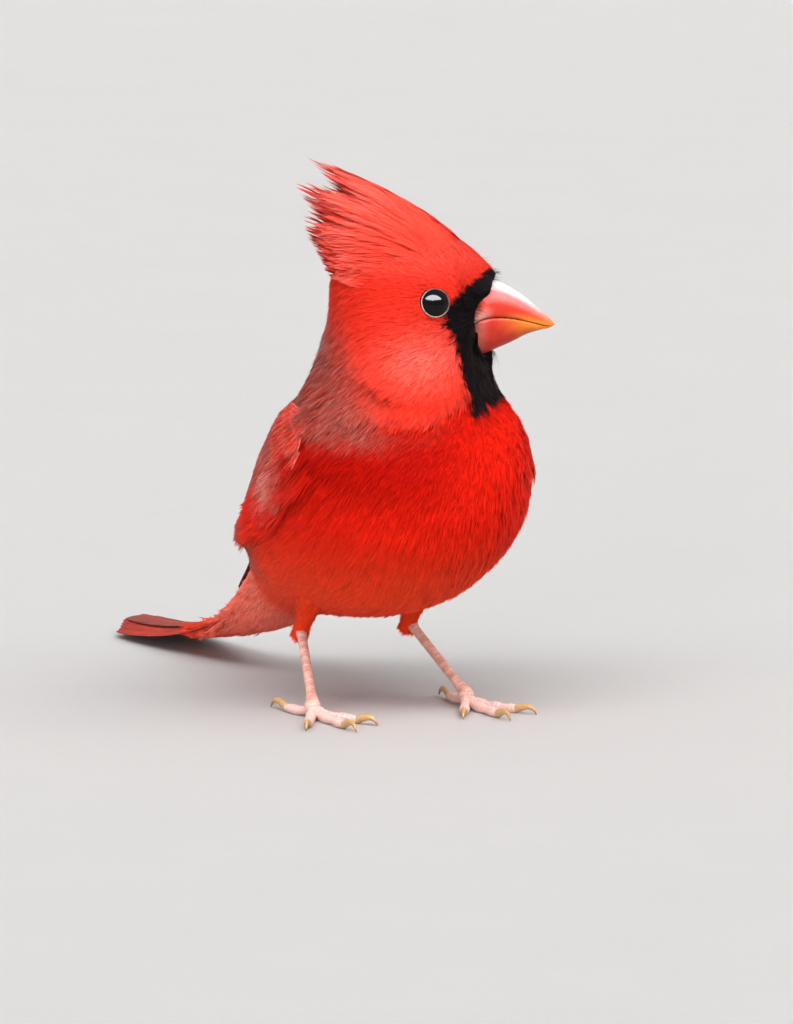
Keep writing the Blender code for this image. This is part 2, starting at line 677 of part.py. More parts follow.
def make_wings(home):
    for side_name, side in (("left", 1), ("right", -1)):
        share = np.linspace(0, 0.45, 6)
        station, upper, lower = wing_edges(share)
        across = np.linspace(0.03, 0.97, 5)
        around = np.radians(upper[:, None] + (lower - upper)[:, None] * across) * side
        stations = np.broadcast_to(station[:, None], around.shape)
        thick = 0.7 + 0.3 * np.sin(share / 0.45 * math.pi)[:, None] * np.sin(across * math.pi)[None]
        top = over_body(stations, around, thick)
        base = over_body(stations, around, np.full(around.shape, -1.0))
        wing = loft(f"wing_{side_name}", np.concatenate([top, base[:, ::-1]], axis=1), "wing", home)
        feathers = [flight_feather(j, side, home) for j in range(len(FLIGHT_ENDS))]
        feathers += covert_row(5, 0.17, 0.47, (0.1, 0.9), 1.5, side, home, 0.85)
        feathers += covert_row(4, 0.05, 0.29, (0.13, 0.87), 1.6, side, home, 0.85)
        feathers += covert_row(1, 0.14, 0.4, (0.97, 1.09), 1.5, side, home, 1.0)
        feathers += covert_row(1, 0.08, 0.44, (0.0, 0.15), 1.5, side, home, 1.0)
        fuse(wing, feathers)
        cut(wing, [envelope(0.0, NECK_ROOT, home)])


def crest_feather(row, root, tip, root_side, tip_side, lift, home):
    """One crest feather from a place on the crown to its tip, given in the plane of symmetry
    with the distances to one side; it bows upwards by lift."""
    t = np.array([0.0, 0.4, 0.75, 1.0])
    root, tip = np.asarray(root, float), np.asarray(tip, float)
    flat = root + (tip - root) * t[:, None]
    way = (tip - root) / np.linalg.norm(tip - root)
    rise = np.array([-way[1], way[0]]) if way[0] > 0 else np.array([way[1], -way[0]])
    flat = flat + rise * (lift * np.sin(t * math.pi))[:, None]
    side = root_side + (tip_side - root_side) * t
    points = turned(np.stack([flat[:, 0], side, flat[:, 1]], -1), HEAD_TURN)
    ahead = turned(np.array([NECK_AXIS_X, 1.0, 0.0]), HEAD_TURN) - (NECK_AXIS_X, 0.0, 0.0)
    upward = turned(np.array([NECK_AXIS_X + rise[0], 0.0, rise[1]]), HEAD_TURN) - (NECK_AXIS_X, 0.0, 0.0)
    tilt = math.radians(CREST_TILTS[row]) * np.sign(root_side) + 0.15 * root_side * (row == 0)
    normal = upward * math.cos(tilt) + ahead * math.sin(tilt)
    half = (2.2, 2.9, 2.7)[row] * np.array([0.6, 1.0, 0.85, 0.07])
    return vane("crest_feather", points, np.broadcast_to(normal, points.shape), half, 0.7, "crest", home)


def make_crest(home):
    """The crest: a low core on the crown with rows of long feathers from front to back, the
    middle row the longest and the rows beside it shorter and lower."""
    angle = np.linspace(0, 2 * math.pi, 10, endpoint=False) + 0.1
    rings = []
    for k in np.linspace(0, 1, 6):
        low = np.array([19.0 - 25.0 * k, 107.0 - 2.0 * k])
        high = np.array([20.0 - 25.5 * k, 108.4 + 8.6 * k + 1.6 * math.sin(k * math.pi)])
        mid, half = (low + high) / 2, (high - low) / 2
        wide = 1.2 + 5.2 * math.sin((0.12 + 0.7 * k) * math.pi)
        flat = mid[:, None] + half[:, None] * np.cos(angle)
        rings.append(np.stack([flat[0], wide * np.sin(angle), flat[1]], -1))
    crest = loft("crest", turned(np.array(rings), HEAD_TURN), "crest", home)
    feathers = []
    for n, (root, tip, lift) in enumerate(CREST_MIDDLE):
        aside = (0.45, -0.3, 0.15, -0.5)[n % 4]
        feathers.append(crest_feather(0, root, tip, aside, -aside, lift, home))
    for row, shift in ((1, 0.0), (2, 1.0)):
        for root, tip, lift in CREST_SIDES[row - 1]:
            for side in (1, -1):
                spread = side * (1.5 * row + 0.1 + 0.12 * side)
                feathers.append(crest_feather(row, root, tip, spread * 1.4, spread * 0.5, lift, home))
    fuse(crest, feathers)
    cut(crest, [envelope(HEAD_ROOT - 0.3, BILL_BASE, home)])


def centre_on_footprint(home):
    """Moves the finished bird so that the origin is under the middle of its bounds."""
    low = np.full(3, 1e9)
    high = np.full(3, -1e9)
    for obj in home.objects:
        points = np.empty(len(obj.data.vertices) * 3)
        obj.data.vertices.foreach_get("co", points)
        points = points.reshape(-1, 3)
        low, high = np.minimum(low, points.min(0)), np.maximum(high, points.max(0))
    middle = (low + high) / 2
    for obj in home.objects:
        obj.data.transform(Matrix.Translation((-middle[0], -middle[1], 0.0)))


def main():
    for obj in list(bpy.data.objects):
        bpy.data.objects.remove(obj)
    home = bpy.data.collections.new("northern_cardinal")
    bpy.context.scene.collection.children.link(home)
    make_torso(home)
    make_neck(home)
    make_head(home)
    make_mask(home)
    make_bill(home)
    make_eyes(home)
    make_crest(home)
    make_wings(home)
    make_tail(home)
    make_legs(home)
    centre_on_footprint(home)


main()
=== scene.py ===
"""Northern cardinal, adult male: the dressed model of a still bird, at life size.

The bird stands on both feet with its head turned to its left. Shapes are worked out in
millimetres with the middle of the two feet over the origin, +X forward along the body,
+Y to its left and +Z up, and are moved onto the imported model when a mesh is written.
"""

import math

import bpy
import numpy as np
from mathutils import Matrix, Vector


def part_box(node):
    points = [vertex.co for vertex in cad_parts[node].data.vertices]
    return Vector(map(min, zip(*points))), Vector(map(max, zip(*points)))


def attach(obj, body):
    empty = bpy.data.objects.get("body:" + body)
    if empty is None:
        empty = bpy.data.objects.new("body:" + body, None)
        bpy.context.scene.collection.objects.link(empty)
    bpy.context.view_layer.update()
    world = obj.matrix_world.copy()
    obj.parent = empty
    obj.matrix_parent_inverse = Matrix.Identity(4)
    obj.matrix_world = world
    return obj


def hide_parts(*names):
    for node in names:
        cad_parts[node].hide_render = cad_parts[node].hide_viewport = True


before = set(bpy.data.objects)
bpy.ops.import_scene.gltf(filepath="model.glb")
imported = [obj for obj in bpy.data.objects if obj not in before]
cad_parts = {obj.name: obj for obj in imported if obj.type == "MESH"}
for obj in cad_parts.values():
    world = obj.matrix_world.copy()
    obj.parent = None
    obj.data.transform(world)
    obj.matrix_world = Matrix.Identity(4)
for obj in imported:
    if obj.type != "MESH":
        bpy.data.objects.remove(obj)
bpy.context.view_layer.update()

bl_info = {
    "name": "Northern cardinal model",
    "version": (1, 0, 0),
    "blender": (4, 5, 0),
    "location": "View3D > Sidebar > Cardinal",
    "description": "Builds the plumage, bill, eyes and legs of a life-size cardinal",
    "category": "Add Mesh",
}

MM = 0.001
SEED = 20
FULL_TURN = 2 * math.pi

# The body's outline in its plane of symmetry, as in the solids: back x and z, front x and z,
# half width, share of the head's turn, and how far the sides are set back.
SECTIONS = (
    (-84.0, 12.0, -82.0, 7.0, 6.5, 0.0, 0.0),
    (-68.0, 24.0, -62.5, 11.0, 8.5, 0.0, 0.0),
    (-54.0, 35.0, -47.0, 16.0, 11.5, 0.0, 0.0),
    (-45.0, 44.5, -34.0, 18.5, 17.0, 0.0, 0.0),
    (-38.0, 54.0, -18.0, 20.0, 23.0, 0.0, 0.0),
    (-31.5, 62.5, -2.0, 22.0, 26.8, 0.0, 0.0),
    (-25.0, 71.0, 15.5, 27.0, 29.0, 0.0, 0.0),
    (-19.0, 78.0, 32.0, 38.0, 29.6, 0.0, 0.0),
    (-14.5, 84.5, 38.8, 52.0, 26.2, 0.04, 0.0),
    (-12.0, 90.0, 37.0, 63.5, 21.8, 0.18, 0.0),
    (-11.0, 95.0, 31.8, 71.3, 19.4, 0.4, 0.0),
    (-10.0, 100.0, 28.7, 76.0, 18.0, 0.65, 0.0),
    (-7.5, 105.2, 27.2, 79.0, 16.8, 0.86, 0.0),
    (-2.0, 110.0, 26.9, 80.5, 15.6, 0.97, 0.0),
    (6.0, 112.9, 26.7, 81.5, 14.2, 1.0, 0.2),
    (14.0, 111.4, 26.6, 82.3, 12.8, 1.0, 1.0),
    (21.0, 107.3, 26.6, 83.0, 10.3, 1.0, 3.0),
    (27.3, 101.2, 26.7, 83.6, 6.6, 1.0, 4.4),
)
BACK_PINCH = 0.3
HEAD_TURN = math.radians(65.0)
NECK_AXIS_X = 5.0
BILL_BASE = 17.0

# The bill from inside the face to its tip: culmen, mouth line and lower edge, each x and z,
# and the half width.
BILL = (
    (20.2, 100.6, 19.6, 88.6, 19.6, 81.6, 6.3),
    (26.8, 99.6, 23.8, 91.4, 23.2, 82.5, 6.3),
    (30.2, 98.0, 28.0, 91.8, 27.0, 84.2, 5.6),
    (33.7, 95.7, 31.5, 91.3, 30.4, 85.7, 4.6),
    (36.8, 93.1, 34.9, 90.4, 33.7, 87.4, 3.4),
    (39.1, 91.1, 37.6, 89.6, 36.5, 88.3, 1.9),
    (40.3, 89.6, 39.4, 89.1, 38.5, 88.7, 0.35),
)
EYE_STATION, EYE_AROUND, EYE_RADIUS, EYE_OPENING = 13.35, math.radians(89), 3.9, 3.05
TAIL_LENGTH, TAIL_START, TAIL_SLOPE, TAIL_END_SLOPE, TAIL_BEND = 98.0, (-48.0, 27.2), 35.0, 1.0, 1.4
FOOT_Y, KNOB_Z, KNOB_RADIUS = 19.2, 3.3, 1.9
ANKLE = (-19.0, 13.5, 18.0)
SHANK_RADIUS = TOE_RADIUS = 1.15
# Each toe: its number, direction from straight ahead (outwards is positive), length, claw length.
TOES = ((1, 174.0, 12.5, 6.5), (2, -27.0, 14.0, 5.0), (3, 0.0, 18.0, 6.0), (4, 29.0, 15.0, 5.0))

# The folded wing: places from its bend to its tip, their stations on the body, and the
# angles of its upper and lower edge from the back, in degrees.
WING_AT = (0.0, 0.1, 0.25, 0.45, 0.65, 0.85, 1.0)
WING_STATION = (8.1, 7.6, 6.7, 5.2, 3.6, 1.9, 0.7)
WING_UPPER = (82, 66, 54, 46, 40, 34, 36)
WING_LOWER = (88, 97, 100, 96, 84, 68, 52)
FLIGHT_ENDS = (0.62, 0.7, 0.75, 0.79, 0.84, 0.89, 0.95, 1.0, 0.93)

# The crest in the head's plane, from its hindmost feather to its front one: the station of a
# feather's root, and x and z of its tip.
CREST_TIPS = (
    (10.9, -11.2, 100.0),
    (11.3, -13.2, 103.8),
    (11.8, -15.4, 108.2),
    (12.3, -17.2, 112.6),
    (12.7, -16.6, 117.6),
    (13.1, -19.6, 122.4),
    (13.5, -11.5, 122.0),
    (13.9, -16.2, 128.0),
    (14.4, -9.0, 125.6),
    (15.0, -2.0, 122.4),
    (15.8, 5.0, 118.6),
    (16.5, 12.0, 113.4),
)

# How steeply the head's feathers run upward, in degrees, by their height over the floor.
LIE = ((68.0, -70.0), (75.0, -62.0), (82.0, -46.0), (88.0, -26.0), (94.0, -6.0), (99.0, 8.0), (104.0, 24.0), (110.0, 34.0))

# Where the black of the face ends, seen from the side: height, and how far forward it starts.
MASK_EDGE = (
    (69.5, 23.6),
    (71.5, 21.6),
    (75.0, 20.4),
    (81.5, 19.4),
    (87.8, 17.2),
    (92.0, 15.2),
    (95.0, 15.6),
    (97.5, 18.0),
    (99.9, 21.2),
    (102.6, 25.4),
    (104.0, 40.0),
)


def srgb(hexed):
    """Linear red, green and blue of an sRGB hex colour."""
    coded = np.array([int(hexed[i : i + 2], 16) / 255 for i in (0, 2, 4)])
    return np.where(coded <= 0.04045, coded / 12.92, ((coded + 0.055) / 1.055) ** 2.4)


def smooth_step(low, high, value):
    t = np.clip((np.asarray(value, float) - low) / (high - low), 0, 1)
    return t * t * (3 - 2 * t)


def unit(vectors):
    return vectors / np.maximum(np.linalg.norm(vectors, axis=-1, keepdims=True), 1e-9)


def smooth_rows(rows, at):
    """The rows of a table, read at fractional places along a Catmull-Rom curve through them."""
    rows, at = np.asarray(rows, float), np.asarray(at, float)
    padded = np.vstack([2 * rows[0] - rows[1], rows, 2 * rows[-1] - rows[-2]])
    first = np.clip(np.floor(at).astype(int), 0, len(rows) - 2)
    t = (at - first)[..., None]
    a, b, c, d = (padded[first + k] for k in range(4))
    return 0.5 * (2 * b + (c - a) * t + (2 * a - 5 * b + 4 * c - d) * t**2 + (3 * b - a - 3 * c + d) * t**3)


def turned(points, angle):
    """Points turned to the bird's left about the upright axis of its neck."""
    points, angle = np.asarray(points, float), np.asarray(angle, float)
    x, y = points[..., 0] - NECK_AXIS_X, points[..., 1]
    return np.stack(
        [
            NECK_AXIS_X + x * np.cos(angle) - y * np.sin(angle),
            x * np.sin(angle) + y * np.cos(angle),
            points[..., 2],
        ],
        -1,
    )


def head_way(vectors):
    """Directions given in the head's own axes, turned as the head is."""
    middle = np.array([NECK_AXIS_X, 0.0, 0.0])
    return turned(vectors + middle, HEAD_TURN) - middle


def tail_line(share):
    """Points of the tail's middle line and its upward directions: a path whose slope eases
    from TAIL_SLOPE to TAIL_END_SLOPE as a power of the distance still to go."""
    fine = np.linspace(0, 1, 201)
    slope = np.radians(TAIL_END_SLOPE + (TAIL_SLOPE - TAIL_END_SLOPE) * (1 - fine) ** TAIL_BEND)
    step = TAIL_LENGTH / 200
    x = TAIL_START[0] - np.concatenate([[0], np.cumsum(np.cos(slope[:-1])) * step])
    z = TAIL_START[1] - np.concatenate([[0], np.cumsum(np.sin(slope[:-1])) * step])
    share = np.asarray(share, float)
    angle = np.interp(share, fine, slope)
    zero = np.zeros_like(share)
    points = np.stack([np.interp(share, fine, x), zero, np.interp(share, fine, z)], -1)
    return points, np.stack([-np.sin(angle), zero, np.cos(angle)], -1)


# Two more rows thin the coat out over the tail, so stations here run from -2 to 17.
FIRST_STATION = -2.0


def coat_rows():
    rows = []
    for share, half, wide in ((0.78, 0.8, 8.0), (0.6, 1.5, 7.2)):
        point, up = tail_line(share)
        back, front = point + up * half, point - up * half
        rows.append((back[0], back[2], front[0], front[2], wide, 0.0, 0.0))
    return np.vstack([rows, SECTIONS])


def body_surface(station, around):
    """A point of the plumage's outside: an ellipse from back to front at each station, with its
    back pinched, its sides set back by the sine squared, and turned with the head."""
    row = smooth_rows(coat_rows(), np.asarray(station, float) - FIRST_STATION)
    back, front = row[..., 0:2], row[..., 2:4]
    rise = np.cos(around)
    flat = (back + front) / 2 + (back - front) / 2 * rise[..., None]
    side = row[..., 4] * np.sin(around) * (1 - BACK_PINCH * np.clip(rise, 0, 1) ** 1.5)
    points = np.stack([flat[..., 0] - row[..., 6] * np.sin(around) ** 2, side, flat[..., 1]], -1)
    return turned(points, HEAD_TURN * row[..., 5])


def hood_edge(x):
    """Height of the hood's lower edge over the floor, by how far ahead in the head's own axes."""
    return 70.4 + 4.2 * smooth_step(10.0, 24.0, x)


def cheek_edge(x):
    """Height of the lower edge of the pale cheek patch, which rises in a parabola to the back."""
    return 75.4 + 0.038 * np.clip(8.0 - x, 0, None) ** 2


def relief(points):
    """How far the coat stands out over the plain outline: the hood over the breast, the cheek,
    the brow, the lore and the hollow of the throat, each a bell curve, and none at the eyes."""
    head = turned(points, -HEAD_TURN)
    x, y, z = head[..., 0], head[..., 1], head[..., 2]

    def bell(at_x, wide, at_z, high):
        return np.exp(-(((x - at_x) / wide) ** 2) - ((z - at_z) / high) ** 2)

    over = z - hood_edge(x)
    edge = 0.8 * np.exp(-(((over - 2.4) / 2.2) ** 2)) - 0.7 * np.exp(-(((over + 2.4) / 2.4) ** 2))
    side = smooth_step(3.0, 8.0, np.abs(y))
    face = 0.9 * bell(8.0, 8.0, 82.5, 5.0) * side + 0.4 * bell(14.0, 5.0, 99.5, 1.8) * side
    face = face - 0.5 * bell(18.6, 2.0, 93.5, 3.5) * side - 2.1 * bell(27.5, 5.5, 74.0, 6.5)
    beside = smooth_step(1.0, 3.2, np.abs(y))
    face = face + (2.4 * bell(25.0, 2.6, 97.8, 2.4) - 2.5 * bell(25.0, 3.6, 85.4, 4.4)) * beside
    face = face + 0.5 * bell(2.0, 7.0, 77.5, 2.4) * side
    eye = turned(body_surface(EYE_STATION, EYE_AROUND), -HEAD_TURN)
    away = np.linalg.norm(np.stack([x - eye[0], np.abs(y) - eye[1], z - eye[2]], -1), axis=-1)
    return (edge * smooth_step(-12.0, -4.0, x) * smooth_step(24.0, 14.0, x) + face) * smooth_step(3.6, 6.5, away)


# A fine table of that surface, its outward directions and its stretch per station and radian.
GRID_S = np.linspace(FIRST_STATION, BILL_BASE, 761)
GRID_A = np.linspace(0, FULL_TURN, 361)
STEP_S, STEP_A = GRID_S[1] - GRID_S[0], GRID_A[1] - GRID_A[0]
SKIN_POINTS = body_surface(*np.broadcast_arrays(GRID_S[:, None], GRID_A[None]))
SKIN_POINTS = SKIN_POINTS + relief(SKIN_POINTS)[..., None] * unit(
    np.cross(np.gradient(SKIN_POINTS, axis=0), np.gradient(SKIN_POINTS, axis=1))
)
ALONG_S = np.gradient(SKIN_POINTS, STEP_S, axis=0)
ALONG_A = np.gradient(SKIN_POINTS, STEP_A, axis=1)
ALONG_A[:, 0] = ALONG_A[:, -1] = (ALONG_A[:, 1] + ALONG_A[:, -2]) / 2
SKIN_NORMALS = unit(np.cross(ALONG_S, ALONG_A))
STRETCH = np.stack([np.linalg.norm(ALONG_S, axis=-1), np.linalg.norm(ALONG_A, axis=-1)], -1)


def look_up(table, station, around):
    """A table over stations and angles, read between its points in proportion."""
    i = np.clip((station - FIRST_STATION) / STEP_S, 0, len(GRID_S) - 1.001)
    j = np.mod(around, FULL_TURN) / STEP_A
    i0, j0 = i.astype(int), np.minimum(j.astype(int), len(GRID_A) - 2)
    fi, fj = (i - i0)[..., None], (j - j0)[..., None]
    low = table[i0, j0] * (1 - fj) + table[i0, j0 + 1] * fj
    high = table[i0 + 1, j0] * (1 - fj) + table[i0 + 1, j0 + 1] * fj
    return low * (1 - fi) + high * fi


def on_coat(station, around, height=0.0):
    station, around = np.broadcast_arrays(np.asarray(station, float), np.asarray(around, float))
    normals = look_up(SKIN_NORMALS, station, around)
    height = np.broadcast_to(np.asarray(height, float), station.shape)
    return look_up(SKIN_POINTS, station, around) + normals * height[..., None], normals


def eye_place(side):
    """Centre of the eyeball, the way it looks, and the middle of its opening."""
    point, normal = on_coat(EYE_STATION, side * EYE_AROUND)
    return point - normal * math.sqrt(EYE_RADIUS**2 - EYE_OPENING**2), normal, point


def frame_shift():
    """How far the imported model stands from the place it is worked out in, from one eye."""
    low, high = (np.array(corner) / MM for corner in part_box("eye_right"))
    shift = (low + high) / 2 - eye_place(-1)[0]
    return np.array([shift[0], shift[1], 0.0])


SHIFT = frame_shift()


def coat_depth(station, around):
    """How thick the coat lies over the skin: thick on the body, thin on the face and round the eyes."""
    at = (-2, 0, 2, 4, 8, 10, 12, 14, 16, 17)
    depth = np.interp(station, at, (0.3, 0.6, 1.6, 2.3, 2.3, 1.9, 1.2, 0.8, 0.5, 0.35))
    away = np.minimum(*(np.linalg.norm(on_coat(station, around)[0] - eye_place(k)[2], axis=-1) for k in (1, -1)))
    return depth * (0.35 + 0.65 * smooth_step(3.0, 8.0, away))


def write_mesh(name, points, triangles=None, quads=None, shift=True, normals=None):
    """A mesh from arrays of points in millimetres and of corner numbers, and of the shading
    normals of its first points, if given; the others keep their own."""
    triangles = np.empty((0, 3), int) if triangles is None else np.asarray(triangles)
    quads = np.empty((0, 4), int) if quads is None else np.asarray(quads)
    mesh = bpy.data.meshes.new(name)
    mesh.vertices.add(len(points))
    placed = (points + (SHIFT if shift else 0)) * MM
    mesh.vertices.foreach_set("co", placed.astype(np.float32).ravel())
    loops = np.concatenate([triangles.ravel(), quads.ravel()]).astype(np.int32)
    starts = np.concatenate([np.arange(len(triangles)) * 3, len(triangles) * 3 + np.arange(len(quads)) * 4])
    mesh.loops.add(len(loops))
    mesh.loops.foreach_set("vertex_index", loops)
    mesh.polygons.add(len(starts))
    mesh.polygons.foreach_set("loop_start", starts.astype(np.int32))
    mesh.update(calc_edges=True)
    mesh.shade_smooth()
    if normals is not None:
        every = np.zeros((len(points), 3), np.float32)
        every[: len(normals)] = normals
        mesh.normals_split_custom_set_from_vertices(every)
    return mesh, loops


def add_piece(name, mesh, material, nodes=()):
    """Shows a finished mesh, riding on the one body and standing for its solids."""
    mesh.materials.append(material)
    piece = bpy.data.objects.new(name, mesh)
    bpy.context.scene.collection.objects.link(piece)
    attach(piece, "root")
    if nodes:
        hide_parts(*nodes)
    return piece


def add_values(mesh, **values):
    for name, numbers in values.items():
        layer = mesh.attributes.new(name, "FLOAT", "POINT")
        layer.data.foreach_set("value", np.ascontiguousarray(numbers, np.float32))


def add_bake_map(mesh, loops, places):
    layer = mesh.uv_layers.new(name="OFBake")
    layer.uv.foreach_set("vector", places[loops].astype(np.float32).ravel())


def bake_place(station, around):
    """The place on the unwrap of the skin: around it across, and along it upwards."""
    across = np.mod(around, FULL_TURN) / FULL_TURN
    upward = (station - FIRST_STATION) / (BILL_BASE - FIRST_STATION)
    return np.stack([across, upward], -1) * 0.96 + 0.02


def grid_faces(rows, columns, closed=False):
    """Quads of a grid whose points are numbered row by row; closed joins its last column
    to the first."""
    across = columns if closed else columns - 1
    r, c = np.meshgrid(np.arange(rows - 1), np.arange(across), indexing="ij")
    n = (c + 1) % columns
    return np.stack([r * columns + c, r * columns + n, (r + 1) * columns + n, (r + 1) * columns + c], -1).reshape(-1, 4)


def closed_body(rings):
    """Points and faces of a closed body through rings (rows, sides, 3), with a fan at each end."""
    rows, sides = rings.shape[:2]
    points = np.vstack([rings.reshape(-1, 3), rings[0].mean(0), rings[-1].mean(0)])
    k = np.arange(sides)
    n = (k + 1) % sides
    last = (rows - 1) * sides
    first_fan = np.stack([n, k, np.full(sides, rows * sides)], -1)
    last_fan = np.stack([last + k, last + n, np.full(sides, rows * sides + 1)], -1)
    quads = grid_faces(rows, sides, closed=True)
    volume = ring_volume(points, quads)
    if volume < 0:
        quads, first_fan, last_fan = quads[:, ::-1], first_fan[:, ::-1], last_fan[:, ::-1]
    return points, quads, np.vstack([first_fan, last_fan])


def ring_volume(points, quads):
    """Six times the volume inside the quads of a nearly closed body, by its sign: which way they face."""
    a, b, c, d = (points[quads[:, k]] - points.mean(0) for k in range(4))
    return float(np.sum(np.cross(a, b) * c) + np.sum(np.cross(a, c) * d))


def tube_rings(path, radii, sides, flatten=1.0, bulge=None):
    """Rings square to a path. bulge, if given, multiplies the radius at each row and side."""
    path = np.asarray(path, float)
    tangent = unit(np.gradient(path, axis=0))
    level = unit(np.cross(tangent, (0.0, 0.0, 1.0)) + np.array([0, 1e-6, 0]))
    upright = np.cross(level, tangent)
    angle = np.linspace(0, FULL_TURN, sides, endpoint=False)
    around = level[:, None] * np.cos(angle)[None, :, None]
    around = around + upright[:, None] * np.sin(angle)[None, :, None] * flatten
    scale = np.asarray(radii, float)[:, None] * (1 if bulge is None else bulge)
    return path[:, None] + around * np.broadcast_to(scale, around.shape[:2])[..., None], angle


# Materials


def new_material(name):
    made = bpy.data.materials.new(name)
    made.use_nodes = True
    tree = made.node_tree
    return made, tree, tree.nodes["Principled BSDF"]


def node(tree, kind, settings=None, **links):
    """Adds a node, with its settings, and with its inputs set or linked by name."""
    made = tree.nodes.new(kind)
    for name, value in (settings or {}).items():
        setattr(made, name, value)
    for name, value in links.items():
        socket = made.inputs[int(name[1:])] if name[0] == "_" else made.inputs[name.replace("_", " ")]
        if isinstance(value, bpy.types.NodeSocket):
            tree.links.new(value, socket)
        elif value is not None:
            socket.default_value = value
    return made


def value_of(tree, name):
    return node(tree, "ShaderNodeAttribute", {"attribute_name": name}).outputs["Fac"]


def arithmetic(tree, operation, a, b=None, c=None):
    return node(tree, "ShaderNodeMath", {"operation": operation}, _0=a, _1=b, _2=c).outputs[0]


def blend(tree, factor, a, b, mode="MIX"):
    """Mixes two colours, each a socket or three numbers."""
    a, b = ((*v, 1.0) if not isinstance(v, bpy.types.NodeSocket) else v for v in (a, b))
    settings = {"data_type": "RGBA", "blend_type": mode}
    return node(tree, "ShaderNodeMix", settings, _0=factor, _6=a, _7=b).outputs[2]


def mottle(tree, size_mm, low, high, detail=3.0):
    """Noise of the given grain, in real millimetres, stretched between two values."""
    place = node(tree, "ShaderNodeTexCoord").outputs["Object"]
    noise = node(tree, "ShaderNodeTexNoise", None, Vector=place, Scale=1 / (size_mm * MM), Detail=detail)
    return node(
        tree, "ShaderNodeMapRange", None, Value=noise.outputs["Fac"], _1=0.3, _2=0.7, _3=low, _4=high
    ).outputs[0]


def grey_of(tree, value):
    return node(tree, "ShaderNodeCombineColor", None, _0=value, _1=value, _2=value).outputs[0]


def set_shader(shader, **values):
    for name, value in values.items():
        shader.inputs[name.replace("_", " ")].default_value = value


def plumage_material(colours):
    """Feather keratin coloured by carotenoids: matt and silky, each feather a little lighter or
    darker than the next, with painted shade towards its hidden root, and a barb grain of half a millimetre."""
    made, tree, shader = new_material("feather_red")
    colour = blend(tree, value_of(tree, "hood"), colours.breast, colours.hood)
    # A deeper red of the breast that is partly painted shade below the hood.
    colour = blend(tree, value_of(tree, "deep_red_and_shade"), colour, colours.deep_red_and_shade)
    colour = blend(tree, value_of(tree, "warm"), colour, colours.warm)
    # The neck colour is also used as painted shade below the cheek patch and below the hood's edge.
    colour = blend(tree, value_of(tree, "dull_and_shade"), colour, colours.dull_and_shade)
    colour = blend(tree, value_of(tree, "pale"), colour, colours.pale)
    tip = value_of(tree, "tip")
    colour = blend(tree, arithmetic(tree, "MULTIPLY", value_of(tree, "grey"), tip), colour, colours.fringe)
    # The mask's black also paints the shadow of the lid's fold under the eye.
    colour = blend(tree, value_of(tree, "mask"), colour, colours.mask)
    light = arithmetic(tree, "MULTIPLY", value_of(tree, "luck"), mottle(tree, 0.5, 0.94, 1.06))
    # Painted shade: the colour runs from 1.03 at a feather's tip down to 0.85 at its root, where the feathers above
    # would shade it.
    light = arithmetic(tree, "MULTIPLY", light, arithmetic(tree, "MULTIPLY_ADD", tip, 0.18, 0.85))
    colour = blend(tree, 1.0, colour, grey_of(tree, light), "MULTIPLY")
    tree.links.new(colour, shader.inputs["Base Color"])
    set_shader(shader, Roughness=0.7, Specular_IOR_Level=0.03, Sheen_Weight=0.04, Sheen_Roughness=0.4)
    set_shader(shader, Sheen_Tint=(1.0, 0.6, 0.5, 1.0))
    return made


def quill_material(name, outer, inner, shaft):
    """Flight feather keratin: smoother than body plumage, a darker shaft and barb lines
    0.7 mm apart that run out and forward from it; duller towards its worn tip."""
    made, tree, shader = new_material(name)
    across, along = value_of(tree, "across"), value_of(tree, "along")
    colour = blend(tree, smooth_range(tree, across, 0.1, 0.5), outer, inner)
    colour = blend(tree, value_of(tree, "dusk"), colour, inner)
    colour = blend(tree, 1.0, colour, grey_of(tree, value_of(tree, "luck")), "MULTIPLY")
    edge = arithmetic(tree, "ABSOLUTE", across)
    slant = arithmetic(tree, "MULTIPLY_ADD", edge, -6.0, along)
    wave = arithmetic(tree, "SINE", arithmetic(tree, "MULTIPLY", slant, FULL_TURN / 0.7))
    lines = arithmetic(tree, "MULTIPLY_ADD", wave, 0.05, 0.97)
    colour = blend(tree, 1.0, colour, grey_of(tree, lines), "MULTIPLY")
    colour = blend(tree, 1.0, colour, grey_of(tree, mottle(tree, 3.0, 0.85, 1.1)), "MULTIPLY")
    colour = blend(tree, smooth_range(tree, edge, 0.1, 0.05), colour, shaft)
    bump = node(tree, "ShaderNodeBump", None, Strength=0.3, Distance=0.0001, Height=wave)
    tree.links.new(colour, shader.inputs["Base Color"])
    tree.links.new(bump.outputs[0], shader.inputs["Normal"])
    set_shader(shader, Roughness=0.55, Specular_IOR_Level=0.05, Sheen_Weight=0.05)
    return made


def smooth_range(tree, value, low, high):
    settings = {"interpolation_type": "SMOOTHSTEP"}
    return node(tree, "ShaderNodeMapRange", settings, Value=value, _1=low, _2=high, _3=0.0, _4=1.0).outputs[0]


